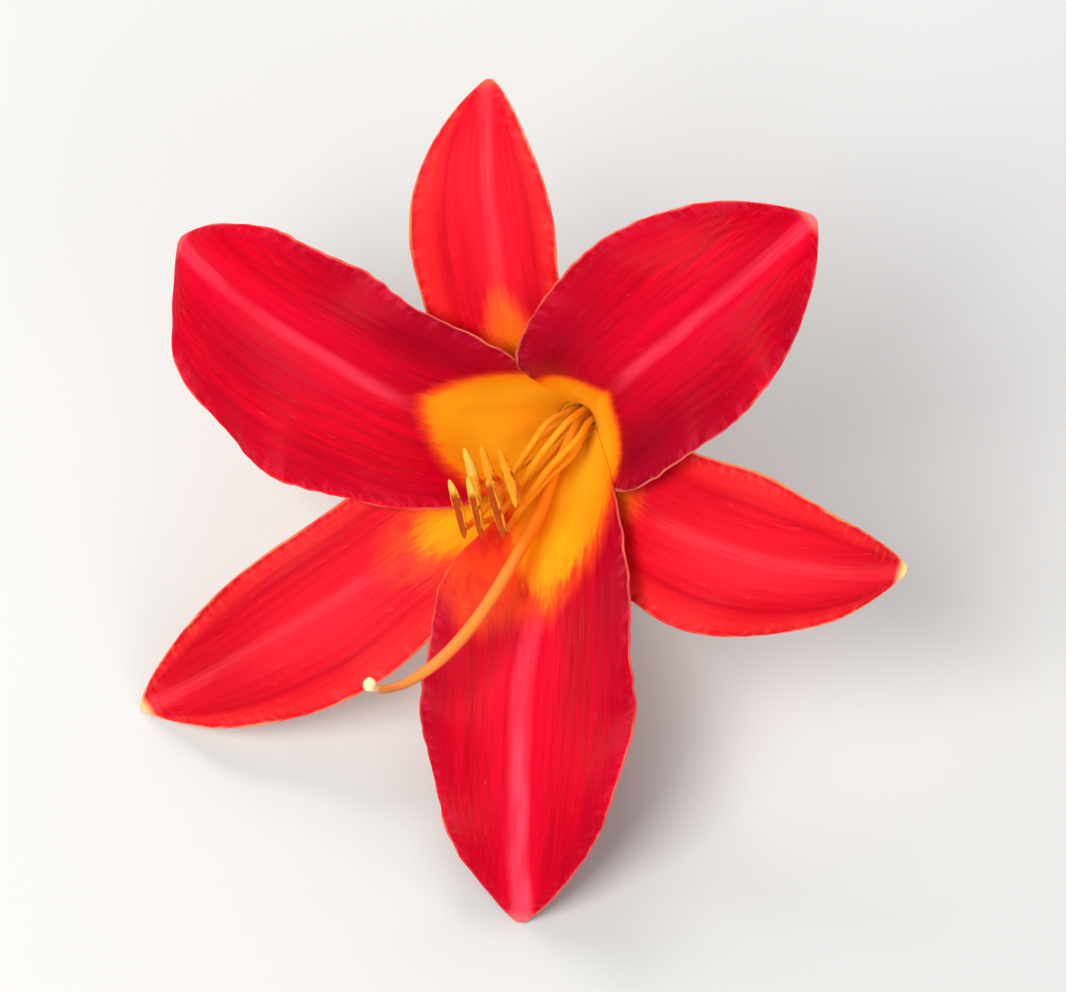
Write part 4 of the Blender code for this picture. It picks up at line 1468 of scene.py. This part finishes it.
# %% [markdown]
# Beyond the gold's border the red is flushed with orange, in mottles. The gold itself comes last and covers
# all that lies under it. The backs have fewer layers: duller flesh that turns gold towards the tube, veins,
# a paler midrib and the same rim. A second material for the backs would need its faces picked out, and the
# colours would meet in a hard line.

# %% Gold, flush and backs
MOTTLES = Grain((0.3, 0.22, 1.0), 2.0, 0.6)
MOTTLE_RANGE = (0.36, 0.56)
FAINTEST_FLUSH = 0.5
FLUSH_FROM = (-0.9, 0.25)
FLUSH_RAGGEDNESS = 0.35
BACK_VEIN_SHARE = 0.35
BACK_RIB_SHARE = 0.5


def gilded(tree, flesh, reads, shades):
    """The flesh with the flush laid over it, and the gold over both."""
    border = {
        "Lie": reads.lie,
        "Inside mm": reads.gold,
        "Softness mm": reads.softness,
        "Raggedness mm": reads.ragged,
    }
    throat = use_group(tree, gilding, border)
    flush = plus(tree, reads.glow, times(tree, reads.streak, FLUSH_RAGGEDNESS))
    mottles = between(tree, noise(tree, reads.lie, MOTTLES), *MOTTLE_RANGE, FAINTEST_FLUSH, 1.0)
    flush = times(tree, between(tree, flush, *FLUSH_FROM), mottles)
    flesh = lay(tree, flesh, [(flush, reads.warmth, "border")], shades)
    return blend(tree, throat["Mask"], flesh, throat["Colour"])


def back_of_tepal(tree, reads, shades):
    """Gold at the foot that eases to the back's own shade, with veins, midrib and rim over it."""
    from_gold = between(tree, reads.along, *shades["back gold ends"])
    flesh = blend(tree, from_gold, colour(*shades["back foot"]), colour(*shades["back"]))
    layers = [
        (reads.streak, BACK_VEIN_SHARE, "back vein"),
        (between(tree, reads.side, *RIB_REACHES), BACK_RIB_SHARE, "back rib"),
        rim_layer(tree, reads, shades),
    ]
    return lay(tree, flesh, layers, shades)


print("the flush runs over these shares of its reach:", FLUSH_FROM)

# %% [markdown]
# A fresh tepal is thin and full of sap. Light goes in and comes out a little way off, which softens the
# shading. A translucent sheet would need one open surface, and these skins are closed, so the shader's own
# subsurface light does it. The skin itself shines very little.

# %% Finish of a tepal
TEPAL_SHINE = 0.04
LIGHT_ENTERS = 0.35
LIGHT_SPREADS = (1.0, 0.5, 0.25)
LIGHT_TRAVELS = 1.5 * MM


def tepal_finish(name, shades):
    """All layers in their order, the back's colours where the skin looks back, and a little light let in
    under the skin, as in a thin petal."""
    material, tree, shader = new_finish(name)
    reads = tepal_reads(tree)
    flesh = blend(tree, reads.streak, colour(*shades["deep"]), colour(*shades["bright"]))
    for layers in (flesh_layers, tone_layers, edge_layers):
        flesh = lay(tree, flesh, layers(tree, reads, shades), shades)
    front = gilded(tree, flesh, reads, shades)
    skin = blend(tree, reads.back, front, back_of_tepal(tree, reads, shades))
    heights = {"Vein height mm": shades["vein height"], "Cell height mm": shades["cell height"]}
    normal = use_group(tree, relief, {"Lie": reads.lie, **heights})["Normal"]
    tree.links.new(skin, shader["Base Color"])
    tree.links.new(between(tree, reads.streak, 0.0, 1.0, *shades["roughness"]), shader["Roughness"])
    tree.links.new(normal, shader["Normal"])
    shader["Specular IOR Level"].default_value = TEPAL_SHINE
    shader["Subsurface Weight"].default_value = LIGHT_ENTERS
    shader["Subsurface Radius"].default_value = LIGHT_SPREADS
    shader["Subsurface Scale"].default_value = LIGHT_TRAVELS
    return material


print("how far light travels under the skin, in mm:", LIGHT_TRAVELS / MM)

# %% [markdown]
# The two kinds differ in their shades, and only sepals have the line of painted shade. Petals are velvety: a
# deep crimson with painted wine-red shade on the flanks and in a band inside the margins, pinkish painted
# highlights on the crimps, and pinkish midribs. Sepals are satiny: a warmer red with lighter bands, apricot
# rims and cream tips. Their backs are orange, and the petals' a pinkish red. Two functions would repeat each
# other, so one is given two tables.

# %% Petal velvet
PETAL_SHADES = {
    "deep": (176, 0, 22),
    "bright": (212, 0, 34),
    "fleck": (234, 56, 66),
    "patch": (188, 0, 26),
    "vein": (156, 0, 22),
    "vein share": 0.38,
    "veins": 10,
    # Painted shade in the soft spots, most on the flanks, and partly the petals' own darker red.
    "flank": (120, 0, 26),
    # Painted highlight along the middle.
    "middle": (232, 6, 50),
    "middle share": 0.4,
    # Painted shade in a band inside the margins, where they turn away.
    "band": (172, 0, 32),
    "band share": 0.55,
    # Painted highlights where light catches the crimps.
    "crimp": (222, 50, 84),
    "crimp share": 0.26,
    "rib": (250, 76, 104),
    "rim": (244, 120, 104),
    "rim share": 0.65,
    "tip": (244, 140, 130),
    "border": (232, 66, 22),
    "back gold ends": (0.26, 0.54),
    "back foot": (232, 184, 40),
    "back": (222, 54, 66),
    "back vein": (190, 24, 44),
    "back rib": (236, 120, 90),
    "roughness": (0.38, 0.5),
    "vein height": 0.07,
    "cell height": 0.02,
}
petal_finish = tepal_finish("petal velvet", PETAL_SHADES)
print("nodes in the petal finish:", len(petal_finish.node_tree.nodes))

# %% Sepal satin
SEPAL_SHADES = {
    "deep": (198, 8, 28),
    "bright": (218, 18, 38),
    "fleck": (244, 74, 70),
    "patch": (204, 8, 28),
    "vein": (206, 6, 30),
    "vein share": 0.35,
    "veins": 8,
    # Painted shade in the soft spots.
    "flank": (176, 4, 26),
    # Painted highlight along the middle.
    "middle": (234, 32, 52),
    "middle share": 0.5,
    "band": (228, 42, 40),
    "band share": 0.55,
    # Painted shade in a line on each side, as of a groove.
    "line": (176, 4, 28),
    "line at": 0.6,
    "line share": 0.45,
    # Painted highlights where light catches the crimps.
    "crimp": (240, 84, 76),
    "crimp share": 0.3,
    "rib": (252, 84, 96),
    "rim": (252, 160, 104),
    "rim share": 0.7,
    "tip": (246, 226, 150),
    "border": (255, 98, 40),
    "back gold ends": (0.30, 0.58),
    "back foot": (222, 184, 46),
    "back": (236, 118, 58),
    "back vein": (208, 76, 48),
    "back rib": (228, 154, 66),
    "roughness": (0.36, 0.48),
    "vein height": 0.06,
    "cell height": 0.015,
}
sepal_finish = tepal_finish("sepal satin", SEPAL_SHADES)
for blade in BLADES:
    finish = petal_finish if blade.kind is PETAL else sepal_finish
    made_pieces[blade.name].data.materials.append(finish)
print("nodes in the sepal finish:", len(sepal_finish.node_tree.nodes))

# %% [markdown]
# ## Stamens, pistil, tube and stalk
#
# Filaments start golden, like the throat that they stand in, and redden just below the anther. The style is
# orange, and browner before its pale stigma. The tube is yellow-green and turns golden at its mouth, and
# the stalk is a plain green with a pale cut end. All are strands, so one finish with a ramp of colours from
# foot to tip does for the four, where separate materials would repeat each other.

# %% Strand finishes
STRAND_SHINE = 0.2
STREAKS_ROUGHEN = 0.12
CELLS_PER_VEIN_HEIGHT = 1 / 3


def strand_finish(name, stops, vein_shade, vein_share, roughness, height):
    """A ramp of colours from the foot to the tip, with streaks of a second colour. The height of the
    veins in the skin is in millimetres."""
    material, tree, shader = new_finish(name)
    lie = carried_vector(tree, "lie")
    streak = use_group(tree, growth, {"Lie": lie})["Streak"]
    shade = ramp(tree, carried(tree, "along"), stops)
    shade = blend(tree, times(tree, streak, vein_share), shade, colour(*vein_shade))
    heights = {"Vein height mm": height, "Cell height mm": height * CELLS_PER_VEIN_HEIGHT}
    normal = use_group(tree, relief, {"Lie": lie, **heights})["Normal"]
    rough = between(tree, streak, 0.0, 1.0, roughness, roughness + STREAKS_ROUGHEN)
    tree.links.new(shade, shader["Base Color"])
    tree.links.new(rough, shader["Roughness"])
    tree.links.new(normal, shader["Normal"])
    shader["Specular IOR Level"].default_value = STRAND_SHINE
    return material


FILAMENT_RAMP = (
    (0.0, (250, 196, 60)),
    (0.65, (255, 190, 44)),
    (0.84, (252, 150, 30)),
    (0.94, (238, 88, 24)),
    (1.0, (244, 130, 50)),
)
filament_finish = strand_finish("filament", FILAMENT_RAMP, (228, 148, 26), 0.3, 0.4, 0.03)
for index in range(len(STAMENS)):
    made_pieces[f"filament_{index + 1}"].data.materials.append(filament_finish)
print("stops on a filament:", len(FILAMENT_RAMP))

# %% Finishes of pistil, tube and stalk
PISTIL_RAMP = (
    (0.0, (196, 200, 70)),
    (0.14, (250, 190, 60)),
    (0.40, (255, 170, 34)),
    (0.58, (250, 124, 22)),
    (0.70, (252, 130, 44)),
    (0.86, (250, 132, 54)),
    (0.905, (220, 128, 44)),
    (0.95, (192, 104, 44)),
    (0.97, (206, 124, 60)),
    (0.984, (250, 226, 172)),
)
TUBE_RAMP = (
    (0.0, (120, 150, 40)),
    (0.35, (176, 176, 48)),
    (0.7, (214, 178, 44)),
    (1.0, (224, 172, 40)),
)
STALK_RAMP = (
    (0.0, (176, 190, 110)),
    (0.03, (96, 136, 36)),
    (0.6, (104, 146, 44)),
    (1.0, (124, 154, 48)),
)
pistil_finish = strand_finish("pistil", PISTIL_RAMP, (226, 92, 40), 0.25, 0.36, 0.03)
tube_finish = strand_finish("tube skin", TUBE_RAMP, (150, 160, 36), 0.4, 0.4, 0.05)
stalk_finish = strand_finish("stalk skin", STALK_RAMP, (78, 116, 30), 0.5, 0.42, 0.06)
for piece, finish in ((pistil, pistil_finish), (tube, tube_finish), (stalk, stalk_finish)):
    piece.data.materials.append(finish)
    print(f"{piece.name}: {finish.name}")

# %% [markdown]
# Daylight comes through the thin wall of the tube, and its inside glows. Light let in under the skin would
# need walls as thin as the real ones, and the lamps from above don't reach the tube's outside. So the inner
# wall gets a weak light of its own towards the mouth.

# %% Light through the tube
INNER_WALL = (3.3, 2.9)
GLOWS_FROM = (10.0, 20.0)
GLOW_STRENGTH = 0.35

tree = tube_finish.node_tree
shader = tree.nodes["Principled BSDF"].inputs
x, y, z = parts_of(tree, carried_vector(tree, "lie"))
sideways = add(tree, "ShaderNodeCombineXYZ", {0: x, 1: y}).outputs[0]
from_axis = add(tree, "ShaderNodeVectorMath", {0: sideways}, operation="LENGTH").outputs["Value"]
glow = times(tree, between(tree, from_axis, *INNER_WALL), between(tree, z, *GLOWS_FROM), GLOW_STRENGTH)
shader["Emission Color"].default_value = colour(224, 120, 24)
tree.links.new(glow, shader["Emission Strength"])
print("the glow starts this many mm up the tube:", GLOWS_FROM[0])

# %% [markdown]
# An anther's skin is brown to orange-brown. Where it is ripe, grains of golden pollen cover it, and cream
# ones towards its upper end. Grains could be scattered as small balls, but they are a tenth of a millimetre
# across. Noise for their colour and their height does at any distance that the bloom is seen from.

# %% Anther finish
ANTHER_SKIN = Grain((3.0, 0.6, 3.0))
POLLEN_GRAINS = Grain((7.0, 5.0, 7.0), 3.0, 0.7)
DUSTING = Grain((1.6, 0.5, 1.6), 3.0)
POLLEN_RAMP = ((0.3, (206, 112, 16)), (0.5, (240, 146, 24)), (0.68, (250, 176, 52)))
RIPENESS_SHARE = 0.5
COVERED_FROM = (0.86, 0.98)
CREAM_FROM = (-0.06, 0.08)
GRAIN_HEIGHT = 0.12 * MM
POLLEN_ROUGHNESS = 0.75
POLLEN_SHINE = 0.1

anther_finish, tree, shader = new_finish("anther and pollen")
lie = carried_vector(tree, "lie")
skin = blend(tree, noise(tree, lie, ANTHER_SKIN), colour(140, 34, 10), colour(196, 84, 18))
grain = noise(tree, lie, POLLEN_GRAINS)
cream = blend(tree, grain, colour(196, 144, 24), colour(244, 206, 92))
creamy = between(tree, carried(tree, "cream"), *CREAM_FROM)
pollen = blend(tree, creamy, ramp(tree, grain, POLLEN_RAMP), cream)
dusted = plus(tree, noise(tree, lie, DUSTING), times(tree, carried(tree, "pollen"), RIPENESS_SHARE))
covered = reckon(tree, "MAXIMUM", between(tree, dusted, *COVERED_FROM), creamy)
relief_sockets = {"Height": times(tree, grain, GRAIN_HEIGHT), "Strength": 1.0, "Distance": 1.0}
bump = add(tree, "ShaderNodeBump", relief_sockets)
tree.links.new(blend(tree, covered, skin, pollen), shader["Base Color"])
tree.links.new(bump.outputs["Normal"], shader["Normal"])
shader["Roughness"].default_value = POLLEN_ROUGHNESS
shader["Specular IOR Level"].default_value = POLLEN_SHINE
for index in range(len(STAMENS)):
    made_pieces[f"anther_{index + 1}"].data.materials.append(anther_finish)
print("nodes in the anther finish:", len(tree.nodes))

# %% [markdown]
# ## Floor, light and camera
#
# The bloom lies on a plain pale floor. The photograph was taken under an open sky. A sky texture would give
# that light, but a lamp can be placed: one broad lamp from the upper left stands for the sky, a second from
# the right keeps the shadows open, a third from behind draws the edges, and the world adds a little.

# %% Floor
FLOOR_HALF = 2

floor_mesh = bpy.data.meshes.new("floor")
floor_corners = [(x * FLOOR_HALF, y * FLOOR_HALF, 0) for x, y in ((-1, -1), (1, -1), (1, 1), (-1, 1))]
floor_mesh.from_pydata(floor_corners, [], [(0, 1, 2, 3)])
floor = bpy.data.objects.new("floor", floor_mesh)
bpy.context.scene.collection.objects.link(floor)
floor_finish, tree, shader = new_finish("pale floor")
shader["Base Color"].default_value = colour(200, 199, 197)
shader["Roughness"].default_value = 0.8
floor_mesh.materials.append(floor_finish)
print("floor:", 2 * FLOOR_HALF, "m wide")

# %% Lamps and world
LAMPS_AIM = Vector((0, 0, 0.04))
Lamp = namedtuple("Lamp", "name place size power tint")
LAMPS = (
    Lamp("key", (-0.20, -0.45, 0.72), 0.45, 7.0, (1.0, 0.98, 0.95)),
    Lamp("fill", (0.6, -0.4, 0.5), 0.5, 1.5, (0.95, 0.97, 1.0)),
    Lamp("rim", (-0.35, 0.45, 0.55), 0.3, 3.5, (1.0, 1.0, 1.0)),
)
WORLD_TINT = (0.9, 0.95, 1.0, 1)
WORLD_STRENGTH = 0.45

for lamp in LAMPS:
    light = bpy.data.lights.new(lamp.name, "AREA")
    light.size = lamp.size
    light.energy = lamp.power
    light.color = lamp.tint
    made = bpy.data.objects.new(lamp.name, light)
    made.location = lamp.place
    made.rotation_euler = (LAMPS_AIM - Vector(lamp.place)).to_track_quat("-Z", "Y").to_euler()
    bpy.context.scene.collection.objects.link(made)
    print(f"{lamp.name}: {lamp.power} W")

world = bpy.data.worlds.new("studio")
world.use_nodes = True
background = world.node_tree.nodes["Background"].inputs
background["Color"].default_value = WORLD_TINT
background["Strength"].default_value = WORLD_STRENGTH
bpy.context.scene.world = world
bpy.context.scene.view_settings.view_transform = "Standard"

# %% [markdown]
# The photograph looks down into the open face. The camera's directions are written in the bloom's own
# frame and turned with it, so that it sees the bloom at the angle of the photograph although the bloom
# lies. Directions in the world would have to be found again each time that the bloom comes to lie
# differently. A long lens from far away keeps the perspective flat.

# %% Camera
VIEW_BACK = np.array([0.2859, 0.2174, 0.9336])
VIEW_UP = np.array([-0.0637, 0.9764, -0.2079])
AIM_IN_BLOOM = np.array([0.5, -6.5, 48.0]) * MM
CAMERA_AWAY = 1.8
LENS = 390

back = Vector(TURN @ VIEW_BACK).normalized()
right = Vector(TURN @ VIEW_UP).cross(back).normalized()
up = back.cross(right)
place = Vector(TURN @ AIM_IN_BLOOM + SHIFT) + back * CAMERA_AWAY
camera_data = bpy.data.cameras.new("camera")
camera_data.lens = LENS
camera = bpy.data.objects.new("camera", camera_data)
camera.matrix_world = Matrix.Translation(place) @ Matrix((right, up, back)).transposed().to_4x4()
bpy.context.scene.collection.objects.link(camera)
bpy.context.scene.camera = camera
print(f"camera {math.degrees(math.asin(back.z)):.0f} degrees above the floor")
